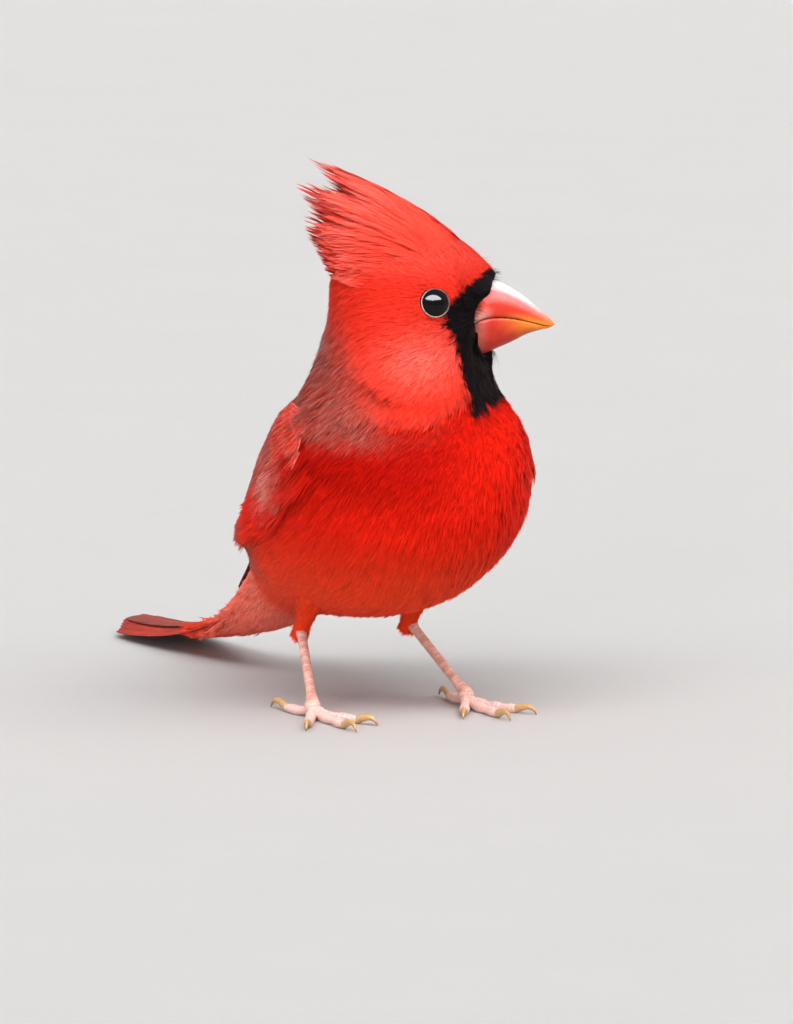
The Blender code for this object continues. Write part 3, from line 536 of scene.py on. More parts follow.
def bill_material(colours):
    """Bill keratin: waxy and slightly see-through, coral, with a painted highlight, nearly white,
    along the ridge towards its base, yellow orange towards the tip and the cutting edges, with fine growth lines."""
    made, tree, shader = new_material("bill_keratin")
    ridge, reach, edge = value_of(tree, "ridge"), value_of(tree, "reach"), value_of(tree, "edge")
    colour = blend(tree, smooth_range(tree, ridge, 0.3, 0.75), colours.bill, colours.bill_side)
    # Painted highlight: a near-white band along the upper ridge, strongest towards the base.
    ridge_highlight = arithmetic(tree, "MULTIPLY", smooth_range(tree, ridge, 0.68, 0.97), smooth_range(tree, reach, 1.0, 0.35))
    colour = blend(tree, ridge_highlight, colour, colours.bill_ridge_highlight)
    warm = arithmetic(tree, "MULTIPLY_ADD", edge, 0.35, reach)
    colour = blend(tree, smooth_range(tree, warm, 0.55, 1.1), colour, colours.bill_tip)
    colour = blend(tree, smooth_range(tree, value_of(tree, "gape"), 0.1, 1.2), colour, colours.bill_gape)
    colour = blend(tree, 1.0, colour, grey_of(tree, mottle(tree, 1.6, 0.88, 1.08)), "MULTIPLY")
    tree.links.new(colour, shader.inputs["Base Color"])
    lines = node(tree, "ShaderNodeBump", None, Strength=0.2, Distance=0.0001, Height=mottle(tree, 0.5, 0, 1))
    tree.links.new(lines.outputs[0], shader.inputs["Normal"])
    set_shader(shader, Roughness=0.42, Specular_IOR_Level=0.25, Subsurface_Weight=0.15)
    set_shader(shader, Subsurface_Radius=(1.0, 0.35, 0.2), Subsurface_Scale=0.0012)
    return made


def eye_material(colours):
    """A wet eyeball: near-black brown iris round a black pupil, under a clear cornea."""
    made, tree, shader = new_material("eye_cornea")
    iris = smooth_range(tree, value_of(tree, "ray"), 0.52, 0.56)
    rim = smooth_range(tree, value_of(tree, "ray"), 0.86, 1.0)
    colour = blend(tree, iris, srgb("040303"), colours.iris)
    colour = blend(tree, rim, colour, srgb("080504"))
    tree.links.new(colour, shader.inputs["Base Color"])
    set_shader(shader, Roughness=0.03, IOR=1.4, Specular_IOR_Level=0.28)
    return made


def leg_material(colours):
    """Horny skin of the legs: pale pinkish brown plates with soft seams, matt and dry."""
    made, tree, shader = new_material("leg_scutes")
    colour = blend(tree, mottle(tree, 1.6, 0.0, 1.0), colours.leg, colours.leg_dark)
    colour = blend(tree, value_of(tree, "toe"), colour, colours.toe)
    seam = arithmetic(tree, "MULTIPLY", smooth_range(tree, value_of(tree, "plate"), 0.3, 0.0), 0.45)
    colour = blend(tree, seam, colour, colours.leg_seam)
    colour = blend(tree, 1.0, colour, grey_of(tree, mottle(tree, 0.35, 0.9, 1.08)), "MULTIPLY")
    tree.links.new(colour, shader.inputs["Base Color"])
    grain = node(tree, "ShaderNodeBump", None, Strength=0.4, Distance=0.0001, Height=mottle(tree, 0.3, 0, 1))
    tree.links.new(grain.outputs[0], shader.inputs["Normal"])
    set_shader(shader, Roughness=0.5, Specular_IOR_Level=0.2, Subsurface_Weight=0.12, Subsurface_Scale=0.001)
    set_shader(shader, Subsurface_Radius=(1.0, 0.4, 0.25))
    return made


def claw_material(colours):
    """Claw horn: smooth, ochre at the root and darker at the point."""
    made, tree, shader = new_material("claw_horn")
    colour = blend(tree, smooth_range(tree, value_of(tree, "reach"), 0.45, 1.0), colours.claw, colours.claw_tip)
    colour = blend(tree, 1.0, colour, grey_of(tree, mottle(tree, 0.6, 0.85, 1.1)), "MULTIPLY")
    tree.links.new(colour, shader.inputs["Base Color"])
    set_shader(shader, Roughness=0.35, Specular_IOR_Level=0.3)
    return made


def lid_material(colours):
    """Bare skin round the eye: grey-pink and finely wrinkled, with painted shade that darkens it in front and above."""
    made, tree, shader = new_material("eyelid_skin")
    # The darker colour marks the real folds by noise and, by the shade value, painted shade.
    shade = arithmetic(tree, "MAXIMUM", mottle(tree, 0.4, -0.2, 0.6), value_of(tree, "shade"))
    colour = blend(tree, shade, colours.lid, colours.lid_folds_and_shade)
    tree.links.new(colour, shader.inputs["Base Color"])
    grain = node(tree, "ShaderNodeBump", None, Strength=0.5, Distance=0.0001, Height=mottle(tree, 0.2, 0, 1))
    tree.links.new(grain.outputs[0], shader.inputs["Normal"])
    set_shader(shader, Roughness=0.6, Specular_IOR_Level=0.15)
    return made


# Markings


def markings(points):
    """How much of each marking a point of the plumage has, from 0 to 1, by its place: heights in
    millimetres over the floor and distances along and across the head, as if it looked ahead.
    Some of them are painted shade: under the lower lid, under the cheek patch and under the hood."""
    head = turned(points, -HEAD_TURN)
    x, y, z = head[..., 0], head[..., 1], points[..., 2]
    heights, starts = np.array(MASK_EDGE).T
    ragged = 0.4 * np.sin(z * 2.1 + y * 1.3) + 0.3 * np.sin(z * 5.3 - x * 2.0)
    mask = smooth_step(-0.6, 0.6, x - np.interp(z, heights, starts) + ragged)
    mask = mask * smooth_step(70.2, 71.6, z - (x - 23.0) * 0.45 + ragged)
    eye = turned(eye_place(1)[2], -HEAD_TURN)
    away = np.hypot(x - eye[0], z - eye[2])
    # Painted shadow of the lower lid's fold: a thin arc under the eye, drawn at 0.45 in the black of the mask.
    fold_shadow = np.exp(-(((away - 3.9) / 0.45) ** 2)) * smooth_step(-1.6, -2.8, z - eye[2]) * (x > eye[0] - 2.6)
    mask = np.maximum(mask, 0.45 * fold_shadow)
    under = z - hood_edge(x)
    hood = smooth_step(-0.9, 0.9, under + ragged)
    pale = np.exp(-(((x - 10.5) / 9.5) ** 2) - ((z - 83.5) / 6.0) ** 2) * (np.abs(y) > 5)
    pale = 0.42 * pale * smooth_step(-1.2, 0.6, z - cheek_edge(x))
    pale = pale + 0.16 * smooth_step(99.0, 106.0, z) + 0.1 * hood * smooth_step(3.0, 0.0, under)
    dull_and_shade = smooth_step(4.0, -8.0, x + 0.5 * (z - 75)) * smooth_step(101.0, 86.0, z) * smooth_step(63.0, 70.0, z)
    # Painted shadow just below the lower edge of the cheek patch.
    cheek_shadow = np.exp(-(((z - cheek_edge(x) + 1.4) / 0.9) ** 2)) * np.exp(-(((x - 1.5) / 5.5) ** 2))
    back_x = points[..., 0] + (70.0 - z) * 0.35
    back = smooth_step(-4.0, -16.0, back_x) * smooth_step(24.0, 34.0, z) * smooth_step(80.0, 66.0, z)
    rump = smooth_step(-38.0, -52.0, points[..., 0]) * smooth_step(4.0, 12.0, z)
    rim = smooth_step(-9.2, -11.2, x) * smooth_step(80.0, 90.0, z) * smooth_step(108.0, 98.0, z)
    shadow = np.exp(-(((under + 2.6) / 1.7) ** 2)) * smooth_step(22.0, 12.0, x)
    faded = np.clip(dull_and_shade + back, 0, 1)
    # The neck colour marks the real brownish red of the nape and back, and it also carries painted shade: the shadows
    # below the cheek patch and below the hood's edge.
    dull_and_shade = np.clip(dull_and_shade + 0.8 * back * (1 - rump) + 0.7 * cheek_shadow + 0.3 * shadow, 0, 1)
    # The breast's deeper red, partly painted shade: a band below the hood's edge, where the hood would shade it.
    deep_red_and_shade = smooth_step(0.0, -2.0, under) * smooth_step(-26.0, -10.0, under) * smooth_step(34.0, 10.0, x)
    warm = np.clip(0.75 * smooth_step(48.0, 27.0, z) + 0.8 * rump, 0, 1)
    return {
        "mask": mask,
        "hood": hood,
        "pale": np.clip(pale * (1 - mask) + 0.75 * rump, 0, 1),
        "grey": np.clip(0.16 * faded + 0.6 * rim, 0, 1) * (1 - mask) * (1 - 0.8 * rump),
        "deep_red_and_shade": deep_red_and_shade,
        "dull_and_shade": dull_and_shade * (1 - mask),
        "warm": warm,
    }


# Feathers


def strand_feathers(rng, spine, across, normal, width, strands, low, high, **options):
    """Soft feathers, each a fan of tapering barbs that leave the shaft and sweep to the edge.

    spine, across and normal hold the middle line of each feather (feathers, nodes, 3). A barb
    starts on the shaft at a random share, and ends at the share 1 - rounding * |w|^1.8 of the
    length and at w of the half width, with w from -1 to 1. Its height over the line goes from
    low at the root to high at the tip, less cup * w^2. Returns points, triangles, the shading
    normals and three values for each point: its share along, its feather's number and w."""
    rounding, cup = options.get("rounding", 0.36), options.get("cup", 0.25)
    loose, fan = options.get("loose", 0.12), options.get("fan", 0.25)
    ribbon, soft = options.get("ribbon", 1.0), options.get("soft", 0.14)
    t = np.array(options.get("cuts", (0.0, 0.42, 0.76, 1.0)))
    count, nodes = spine.shape[:2]
    cuts = len(t)
    w = np.linspace(-1, 1, strands)[None] + rng.normal(0, 0.6 / strands, (count, strands))
    begin = rng.uniform(0.0, 0.42, (count, strands)) * (1 - 0.5 * np.abs(w))
    end = (1 - rounding * np.abs(w) ** 1.8) * (1 + rng.normal(0, loose * 0.6, w.shape))
    end = np.maximum(np.clip(end, 0.3, 1.15), begin + 0.2)
    share = begin[..., None] + (end - begin)[..., None] * t
    lean = fan + (1 - fan) * t**0.75
    aside = w[..., None] * lean * width[:, None, None] / 2
    aside = aside + rng.normal(0, loose, w.shape)[..., None] * t**2 * width[:, None, None] / 2
    lift = rng.normal(0, loose, w.shape)[..., None] * t**2 * options.get("fluff", 1.0)
    rise = low[:, None, None] + (high - low)[:, None, None] * np.clip(share, 0, 1) ** 0.8
    height = rise + lift - cup * np.abs(w[..., None]) ** 2 * t
    taper = np.interp(t, (0.0, 0.42, 0.76, 1.0), (0.9, 1.0, 0.62, 0.0))
    half = ribbon * width[:, None, None] / strands * taper
    twist = rng.normal(0, 0.3, w.shape)[..., None]

    def ribbons(left, middle, right):
        pairs = np.stack([left, right], -1)[..., : cuts - 1, :]
        return np.concatenate([pairs.reshape(count, strands, -1), middle[..., -1:]], -1)

    parts = ribbons(aside - half, aside, aside + half)
    heights = ribbons(height - half * twist, height, height + half * twist)
    shares = ribbons(share, share, share)
    at = np.clip(shares, 0, 1.25) * (nodes - 1)
    first = np.clip(at.astype(int), 0, nodes - 2)
    part = (at - first)[..., None]
    who = np.broadcast_to(np.arange(count)[:, None, None], first.shape)

    def between(table):
        return table[who, first] * (1 - part) + table[who, first + 1] * part

    points = between(spine) + between(across) * parts[..., None] + between(normal) * heights[..., None]
    tilt = rng.normal(0, soft, w.shape) + 0.3 * w
    shading = unit(between(normal) + between(across) * tilt[..., None, None])
    size = 2 * cuts - 1
    corner = [c for k in range(cuts - 2) for c in ((2 * k, 2 * k + 1, 2 * k + 3), (2 * k, 2 * k + 3, 2 * k + 2))]
    corner = np.array([*corner, (size - 3, size - 2, size - 1)])
    triangles = (np.arange(count * strands)[:, None, None] * size + corner).reshape(-1, 3)
    barb = np.broadcast_to(w[..., None], first.shape)
    return points.reshape(-1, 3), triangles, shading.reshape(-1, 3), shares.ravel(), who.ravel(), barb.ravel()


def scatter(count, low, high, weight):
    """Places spread evenly over the skin between two stations, by a low-discrepancy sequence
    (multiples of the powers of the plastic number), where weight is the wanted density."""
    k = np.arange(1, count + 1)
    first, second = np.mod(k / 1.324717957, 1), np.mod(k / 1.324717957**2, 1)
    rows = (GRID_S >= low) & (GRID_S <= high)
    stations, angles = GRID_S[rows], GRID_A[:-1]
    s, a = np.broadcast_arrays(stations[:, None], angles[None])
    area = np.linalg.norm(np.cross(ALONG_S[rows][:, :-1], ALONG_A[rows][:, :-1]), axis=-1)
    mass = area * weight(s, a)
    by_row = np.cumsum(mass.sum(1))
    row = np.interp(first * by_row[-1], by_row, np.arange(len(stations)))
    near = np.clip(np.round(row).astype(int), 0, len(stations) - 1)
    by_column = np.cumsum(mass, axis=1)[near]
    wanted = second * by_column[:, -1]
    column = (by_column < wanted[:, None]).sum(1)
    before = np.where(column > 0, np.take_along_axis(by_column, np.maximum(column - 1, 0)[:, None], 1)[:, 0], 0)
    here = np.take_along_axis(mass[near], np.minimum(column, len(angles) - 1)[:, None], 1)[:, 0]
    part = np.clip((wanted - before) / np.maximum(here, 1e-12), 0, 1)
    return np.interp(row, np.arange(len(stations)), stations), (column + part) * STEP_A


def feather_way(station, around):
    """The way feathers point: to the tail over the body and, on the head, up and back over the
    crown, level behind the eye and down the cheeks and the bib, by the angles of LIE."""
    head = turned(look_up(SKIN_POINTS, station, around), -HEAD_TURN)
    x, z = head[..., 0], head[..., 2]
    rise = np.radians(np.interp(z, *np.array(LIE).T))
    bib = smooth_step(17.0, 21.0, x) * smooth_step(92.0, 86.0, z)
    rise = rise * (1 - bib) - math.radians(80) * bib
    wanted = head_way(np.stack([-np.cos(rise), np.zeros_like(rise), np.sin(rise)], -1))
    share = smooth_step(9.4, 11.2, station) * smooth_step(-10.0, -3.0, x)
    natural = -unit(look_up(ALONG_S, station, around))
    return natural * (1 - share[..., None]) + wanted * share[..., None]


def coat_spines(station, around, length, swirl, nodes=5):
    """Middle lines of feathers that lie on the coat, turned by swirl from the common way. A step
    d along the surface P(s, a) is solved from d.Ps = ds Ps.Ps + da Ps.Pa, and likewise for Pa."""
    s, a = np.array(station), np.array(around)
    step = length / (nodes - 1)
    places = [(s, a)]
    for _ in range(nodes - 1):
        along_s, along_a = look_up(ALONG_S, s, a), look_up(ALONG_A, s, a)
        normal = look_up(SKIN_NORMALS, s, a)
        way = feather_way(s, a)
        way = unit(way - normal * (way * normal).sum(-1, keepdims=True))
        way = way * np.cos(swirl)[:, None] + np.cross(normal, way) * np.sin(swirl)[:, None]
        ss, sa, aa = ((p * q).sum(-1) for p, q in ((along_s, along_s), (along_s, along_a), (along_a, along_a)))
        ws, wa = (way * along_s).sum(-1), (way * along_a).sum(-1)
        room = np.maximum(ss * aa - sa**2, 0.05 * ss * aa + 1e-3)
        s = np.clip(s + step * (aa * ws - sa * wa) / room, FIRST_STATION, BILL_BASE)
        a = a + step * (ss * wa - sa * ws) / room
        places.append((s, a))
    s, a = (np.stack([p[k] for p in places], 1) for k in (0, 1))
    points, normals = on_coat(s, a)
    tangent = unit(np.gradient(points, axis=1))
    across = unit(np.cross(tangent, normals))
    return points, across, unit(np.cross(across, tangent)), s, a


def feather_size(station, around):
    """Length and width of the body feathers by their place: short and narrow on the face."""
    at = (-2, 1, 3, 6, 8, 9.5, 11, 12.5, 14, 16, 17)
    length = np.interp(station, at, (9, 13, 13, 12, 11, 9, 7, 5.4, 4.4, 3.0, 2.0))
    width = np.interp(station, at, (4, 5.5, 5.5, 5.2, 4.8, 3.8, 2.8, 2.1, 1.7, 1.2, 0.9))
    return length, width


def wing_lane(station, around):
    """Where a place lies across the folded wing: 0 at its upper edge and 1 at its lower one."""
    angle = np.degrees(np.abs(np.mod(around + math.pi, FULL_TURN) - math.pi))
    upper = np.interp(station, WING_STATION[::-1], WING_UPPER[::-1])
    lower = np.interp(station, WING_STATION[::-1], WING_LOWER[::-1])
    return (angle - upper) / (lower - upper)


def clear_of_eyes(points, reach):
    """Which feathers keep off the eyes: no node of their line is nearer than reach to one."""
    away = [np.linalg.norm(points - eye_place(side)[2], axis=-1).min(1) for side in (1, -1)]
    return np.minimum(*away) > reach


def strand_luck(rng, share, spread):
    """One random number for each barb, repeated over its points."""
    starts = np.concatenate([[True], np.diff(share) < -0.05]) | (np.arange(len(share)) == 0)
    return rng.normal(0, spread, int(starts.sum()))[np.cumsum(starts) - 1]


def plumage_piece(name, count, low, high, strands, material, seed, **options):
    """One stretch of body plumage between two stations. Feathers that end over the wing stay
    under its quills, those just above and below it overlap its edges, and the tips of the hood
    and of the cheek patch stand a little off what is below them."""
    rng = np.random.default_rng(SEED + seed)

    def density(s, a):
        length, width = feather_size(s, a)
        return 1 / (length * width)

    station, around = scatter(count, low, high, density)
    lane = wing_lane(station, around)
    cover = 0.86 - 0.2 * smooth_step(4.4, 5.4, station)
    under_wing = (lane > 0.16) & (lane < cover) & (station > 1.2) & (station < 7.9)
    shown = ~under_wing & (station < rim_station(around))
    station, around, lane = (v[shown] for v in (station, around, lane))
    length, width = feather_size(station, around)
    luck = rng.normal(1.0, 0.045, len(station))
    length = length * rng.uniform(0.85, 1.15, len(length))
    swirl = rng.normal(0, options.get("swirl", 0.09), len(length))
    near = np.minimum(*(np.linalg.norm(on_coat(station, around)[0] - eye_place(k)[2], axis=-1) for k in (1, -1)))
    length = length * (0.35 + 0.65 * smooth_step(3.6, 7.5, near))
    width = width * (0.5 + 0.5 * smooth_step(3.6, 7.5, near))
    spine, across, normal, line_s, line_a = coat_spines(station, around, length, swirl)
    keep = clear_of_eyes(spine, EYE_OPENING + 0.3)
    spine, across, normal, line_s, line_a = (v[keep] for v in (spine, across, normal, line_s, line_a))
    station, around, lane, length, width, luck = (v[keep] for v in (station, around, lane, length, width, luck))
    top = rng.normal(0.12, 0.1, len(length)) * np.minimum(1, length / 8)
    end_lane, end_station = wing_lane(line_s[:, -1], line_a[:, -1]), line_s[:, -1]
    by_wing = (end_station > 1.2) & (end_station < 8.3)
    shoulder = 0.2 + 0.3 * smooth_step(5.0, 6.6, end_station)
    cover = 0.86 - 0.2 * smooth_step(4.4, 5.4, end_station)
    over_flank = by_wing & (lane < 1.3) & (end_lane > cover) & (end_lane < 1.05) & (end_station > 2.6)
    top = top + (2.1 - 0.8 * smooth_step(6.9, 7.7, end_station)) * (by_wing & (lane > -0.6) & (end_lane < shoulder) & (end_lane > -0.25))
    top = top + 2.7 * smooth_step(7.9, 6.7, end_station) * over_flank
    over_bend = smooth_step(6.9, 7.5, end_station)
    top = np.where(by_wing & (end_lane >= shoulder) & (end_lane <= cover), -0.4 + 1.5 * over_bend, top)
    tip_x, tip_z = turned(spine[:, 3], -HEAD_TURN)[:, 0], spine[:, 3, 2]
    over_breast = np.exp(-(((tip_z - hood_edge(tip_x) - 1.6) / 1.7) ** 2)) * smooth_step(-12, -4, tip_x)
    over_breast = over_breast * smooth_step(26.0, 16.0, tip_x)
    patch = np.exp(-(((tip_z - cheek_edge(tip_x) - 1.0) / 1.5) ** 2)) * np.exp(-(((tip_x - 2) / 7) ** 2))
    loose_nape = smooth_step(-6.0, -11.0, tip_x) * smooth_step(78.0, 88.0, tip_z) * smooth_step(106.0, 98.0, tip_z)
    top = top + 1.2 * over_breast + 1.1 * patch + 1.3 * loose_nape
    depth = coat_depth(station, around)
    points, triangles, shading, share, who, barb = strand_feathers(
        rng, spine, across, normal, width, strands, 1.4 * over_flank - depth, top, **options
    )
    mesh, loops = write_mesh(name, points, triangles, normals=shading)
    marks = {k: v[who] for k, v in markings(spine[:, 3]).items()}
    tuft = spine[:, 3] - np.array([0.0, 0.0, 55.5])
    tuft = np.exp(-((tuft[:, 0] / 6) ** 2) - (tuft[:, 2] / 5) ** 2) * over_flank
    tuft = tuft[who] * smooth_step(0.3, 0.8, share)
    marks["pale"] = np.maximum(marks["pale"], tuft)
    marks["grey"] = np.maximum(marks["grey"], 0.4 * tuft) * np.clip(0.8 + strand_luck(rng, share, 0.5), 0, 1.6)
    marks["pale"] = marks["pale"] * np.clip(0.85 + strand_luck(rng, share, 0.35), 0, 1.2)
    tip = smooth_step(0.25, 1.0, share)
    add_values(mesh, tip=tip, luck=luck[who] * (1 + strand_luck(rng, share, 0.05)), **marks)
    places = bake_place(station, around)[who] + np.stack([barb * 0.0015, (share - 0.5) * 0.003], -1)
    add_bake_map(mesh, loops, np.clip(places, 0.001, 0.999))
    return add_piece(name, mesh, material)


def rim_station(around):
    """Where the face ends at the bill: drawn back at the gape and the lower mandible's side."""
    off = np.abs(np.degrees(np.mod(around + math.pi, FULL_TURN) - math.pi))
    return BILL_BASE - 0.02 - 0.6 * np.exp(-(((off - 134) / 27) ** 2))


def skin_piece(material):
    """One closed skin under the whole coat, from the tail to the base of the bill."""
    a = np.linspace(0, FULL_TURN, 120, endpoint=False)
    share = np.linspace(0, 1, 210)[:, None]
    station = -1.4 + (rim_station(a) + 1.4) * share
    station, around = np.broadcast_arrays(station, a[None])
    rings, _ = on_coat(station, around, -coat_depth(station, around))
    points, quads, triangles = closed_body(rings)
    mesh, loops = write_mesh("body_skin", points, triangles, quads)
    marks = markings(points)
    plain = np.ones(len(points))
    marks["grey"] = marks["grey"] * 0
    # The skin shows between the feathers: a tip of 0.5 gives it half of the feathers' painted root shade, and a luck of
    # 0.9 makes it a little darker still.
    add_values(mesh, tip=plain * 0.5, luck=plain * 0.9, **marks)
    around = np.concatenate([around.ravel(), [0, 0]])
    station = np.concatenate([station.ravel(), [-1.4, BILL_BASE]])
    add_bake_map(mesh, loops, bake_place(station, around))
    nodes = ("torso", "neck", "head", "face_mask")
    return add_piece("body_skin", mesh, material, nodes)


def head_way_back(vectors):
    """Directions in the head's own axes, from those in the body's."""
    middle = np.array([NECK_AXIS_X, 0.0, 0.0])
    return turned(vectors + middle, -HEAD_TURN) - middle


def head_frame(flat):
    """Points given in the head's own axes (ahead, to its left, up) put where the head is turned."""
    return turned(np.asarray(flat, float), HEAD_TURN)


def crest_piece(material):
    """The crest: long narrow feathers from the crown, with frayed tips, over a low core. Each
    runs from its root on the crown to the tip that CREST_TIPS gives for its station, less
    2.4 * lane^1.5 for a root that stands off the middle, so that the sides lie on the rows above."""
    rng = np.random.default_rng(SEED + 50)
    root_at, tip_x, tip_z = np.array(CREST_TIPS).T
    count = 740
    k = np.arange(1, count + 1)
    place, over = np.mod(k / 1.324717957, 1), 2 * np.mod(k / 1.324717957**2, 1) - 1
    lane = 0.86 * np.sign(over) * np.abs(over) ** 1.2
    first, last = 11.1 + 1.5 * lane**2, 16.5 - 0.7 * np.abs(lane)
    at = first + (last - first) * place
    wide, side = np.abs(lane), np.sign(lane)
    root, outward = on_coat(at, lane * math.radians(66), -1.0)
    root = turned(root, -HEAD_TURN)
    look = np.clip(at - 2.4 * wide**1.5, 10.9, 16.5)
    reach = (1 - 0.4 * wide) * rng.choice([1.0, 1.0, 0.9, 0.8], len(at)) * rng.uniform(0.93, 1.01, len(at))
    aside = root[:, 1] * 0.38 + rng.normal(0, 0.25, len(at))
    tip = np.stack([np.interp(look, root_at, tip_x), aside, np.interp(look, root_at, tip_z)], -1)
    t = np.linspace(0, 1, 8)[None, :, None]
    length = np.linalg.norm(tip - root, axis=1)
    rise = unit(np.cross(tip - root, (0.0, 1.0, 0.0)))
    rise = rise * np.sign(rise[:, 2:3])
    outward = head_way_back(outward)
    bow = np.sin(t * math.pi) * (0.06 * length)[:, None, None]
    line = root[:, None] + (tip - root)[:, None] * (t * reach[:, None, None])
    line = line + bow * unit(rise * 0.6 + outward)[:, None]
    spine = head_frame(line)
    tangent = unit(np.gradient(spine, axis=1))
    facing = rise * np.cos(wide * 1.2)[:, None] + np.array([0.0, 1.0, 0.0]) * (np.sin(wide * 1.2) * side)[:, None]
    across = unit(np.cross(tangent, head_way(facing)[:, None]))
    normal = unit(np.cross(across, tangent))
    width = (4.0 - 0.6 * wide) * np.minimum(1, length / 12)
    low, high = np.full(len(at), -0.3), np.full(len(at), 0.1)
    options = {"rounding": 0.42, "loose": 0.07, "fan": 0.24, "cup": 0.2, "ribbon": 1.9, "soft": 0.08}
    points, triangles, shading, share, who, barb = strand_feathers(
        rng, spine, across, normal, width, 26, low, high, **options
    )
    count = len(points)
    core = crest_core()
    extra = np.zeros(len(core[0]))
    mesh, loops = write_mesh(
        "crest_feathers",
        np.vstack([points, core[0]]),
        np.vstack([triangles, core[2] + count]),
        core[1] + count,
        normals=shading,
    )
    marks = {k: np.concatenate([v[who], extra]) for k, v in markings(spine[:, 3]).items()}
    marks["grey"] = np.concatenate([smooth_step(0.8, 1.1, share) * 0.2, extra])
    marks["hood"] = np.ones(len(extra) + count)
    marks["pale"] = np.concatenate([0.08 + 0.24 * smooth_step(0.4, 1.0, share), extra])
    marks["deep_red_and_shade"] = marks["dull_and_shade"] = marks["warm"] = np.zeros(len(extra) + count)
    luck = rng.normal(1.06, 0.05, len(at))[who] * (1 + strand_luck(rng, share, 0.06))
    # Less painted root shade in the crest: its roots take half of it, and its core some of it.
    tip_value = np.concatenate([0.5 + 0.5 * smooth_step(0.1, 0.9, share), extra + 0.6])
    add_values(mesh, tip=tip_value, luck=np.concatenate([luck, extra + 0.9]), **marks)
    spread = bake_place(at, lane)[who] + np.stack([barb * 0.0015, (share - 0.5) * 0.003], -1)
    flat = np.full((len(core[0]), 2), 0.5) + core[0][:, :2] * 1e-4
    add_bake_map(mesh, loops, np.clip(np.vstack([spread, flat]), 0, 1))
    return add_piece("crest_feathers", mesh, material, ("crest",))


def crest_core():
    """The closed fin that fills the crest: from each place of the crown some 0.7 of the way to
    the tips, with the half width 6 * (1 - t)^0.8 + 0.6 at the share t of that way, less to the front."""
    root_at, tip_x, tip_z = np.array(CREST_TIPS).T
    at = np.linspace(11.5, 16.4, 40)
    root = turned(on_coat(at, 0.0, -1.6)[0], -HEAD_TURN)
    near = np.exp(-(((at[:, None] - root_at) / 0.5) ** 2))
    tip = (near @ np.stack([tip_x, 0 * tip_x, tip_z], -1)) / near.sum(1, keepdims=True)
    t = np.linspace(0, 1, 14)
    t, side = np.concatenate([t, t[::-1]]), np.repeat([1.0, -1.0], 14)
    rings = root[:, None] + (tip - root)[:, None] * (t * np.interp(at, (11.5, 12.5, 14.5, 16.0), (0.56, 0.62, 0.62, 0.3))[:, None])[..., None]
    close = np.interp(at, (11.5, 12.0, 14.2, 16.0, 16.4), (0.3, 1.0, 0.9, 0.25, 0.05))
    rings[..., 1] += side * (6.0 * (1 - t) ** 0.8 + 0.6) * close[:, None]
    rings[..., 2] += np.sin(t * math.pi) * 0.5
    return closed_body(head_frame(rings))


def vane_body(spine, across, normal, left, right, thickness, columns=9):
    """A stiff feather as one closed thin body. Its upper face at the share v from edge to edge
    stands thickness/2 over the line, arched by camber * (1 - w^2), with a ridge for the shaft;
    its lower face runs the same way back."""
    w = np.linspace(-1, 1, columns)
    aside = np.where(w < 0, w * left[:, None], w * right[:, None])
    arch = 0.05 * (left + right)[:, None] * (1 - w**2)
    shaft = 0.22 * np.exp(-((w / 0.1) ** 2))
    edge = np.sqrt(np.clip(1.02 - w**2, 0, 1))
    top = arch + thickness * (0.15 + 0.35 * edge) + shaft
    bottom = arch - thickness * (0.15 + 0.35 * edge)
    rings = []
    for height, order in ((top, slice(None)), (bottom, slice(None, None, -1))):
        points = spine[:, None] + across[:, None] * aside[..., None] + normal[:, None] * height[..., None]
        rings.append(points[:, order])
    points, quads, triangles = closed_body(np.concatenate(rings, 1))
    v = np.concatenate([w, w[::-1]])
    return points, quads, triangles, np.concatenate([np.tile(v, len(spine)), [0, 0]])


def gather(parts):
    """Joins (points, quads, triangles, values) of several bodies into one of each."""
    offset, joined = 0, [[], [], [], []]
    for points, quads, triangles, values in parts:
        joined[0].append(points)
        joined[1].append(quads + offset)
        joined[2].append(triangles + offset)
        joined[3].append(values)
        offset += len(points)
    return (np.concatenate(group) for group in joined)


def quill(spine, normals, half, rng, **options):
    """A flight feather along a line: points, faces and, for each point, the place across its
    webs (outer web negative), millimetres along it, its luck and how dusky it is."""
    side, roll = options.get("side", 1), options.get("roll", 0.0)
    outer, dusk = options.get("outer", 0.5), options.get("dusk", np.zeros(len(half)))
    tangent = unit(np.gradient(spine, axis=0))
    across = unit(np.cross(tangent, normals))
    up = np.cross(across, tangent)
    across, up = across * math.cos(roll) + up * math.sin(roll), up * math.cos(roll) - across * math.sin(roll)
    frayed = 2 * half * (1 + rng.normal(0, 0.015, len(half)))
    low, high = (outer, 1 - outer) if side < 0 else (1 - outer, outer)
    points, quads, triangles, v = vane_body(spine, across, up, frayed * low, frayed * high, options.get("thick", 0.28))
    distance = np.concatenate([[0], np.cumsum(np.linalg.norm(np.diff(spine, axis=0), axis=1))])
    columns = (len(points) - 2) // len(spine)
    along = np.concatenate([np.repeat(distance, columns), [0, distance[-1]]])
    dusky = np.concatenate([np.repeat(dusk, columns), [0, dusk[-1]]])
    luck = np.full(len(points), rng.normal(1.0, 0.06))
    return points, quads, triangles, np.stack([-side * v, along, luck, dusky], -1)


def add_quills(name, parts, material, nodes):
    points, quads, triangles, values = gather(parts)
    mesh, _ = write_mesh(name, points, triangles, quads)
    add_values(mesh, **{k: values[:, i] for i, k in enumerate(("across", "along", "luck", "dusk"))})
    return add_piece(name, mesh, material, nodes)


def feather_shape(t, root=0.6, widest=0.55, tip=0.02):
    """Half width along a feather as a share of its widest: swelling as a sine to the place
    widest, and closing as a quarter circle."""
    swell = root + (1 - root) * np.sin(np.clip(t / widest, 0, 1) * math.pi / 2)
    close = np.sqrt(np.clip(1 - (np.clip(t - widest, 0, 1) / (1 - widest)) ** 4, 0, 1))
    return np.maximum(swell * close, tip)


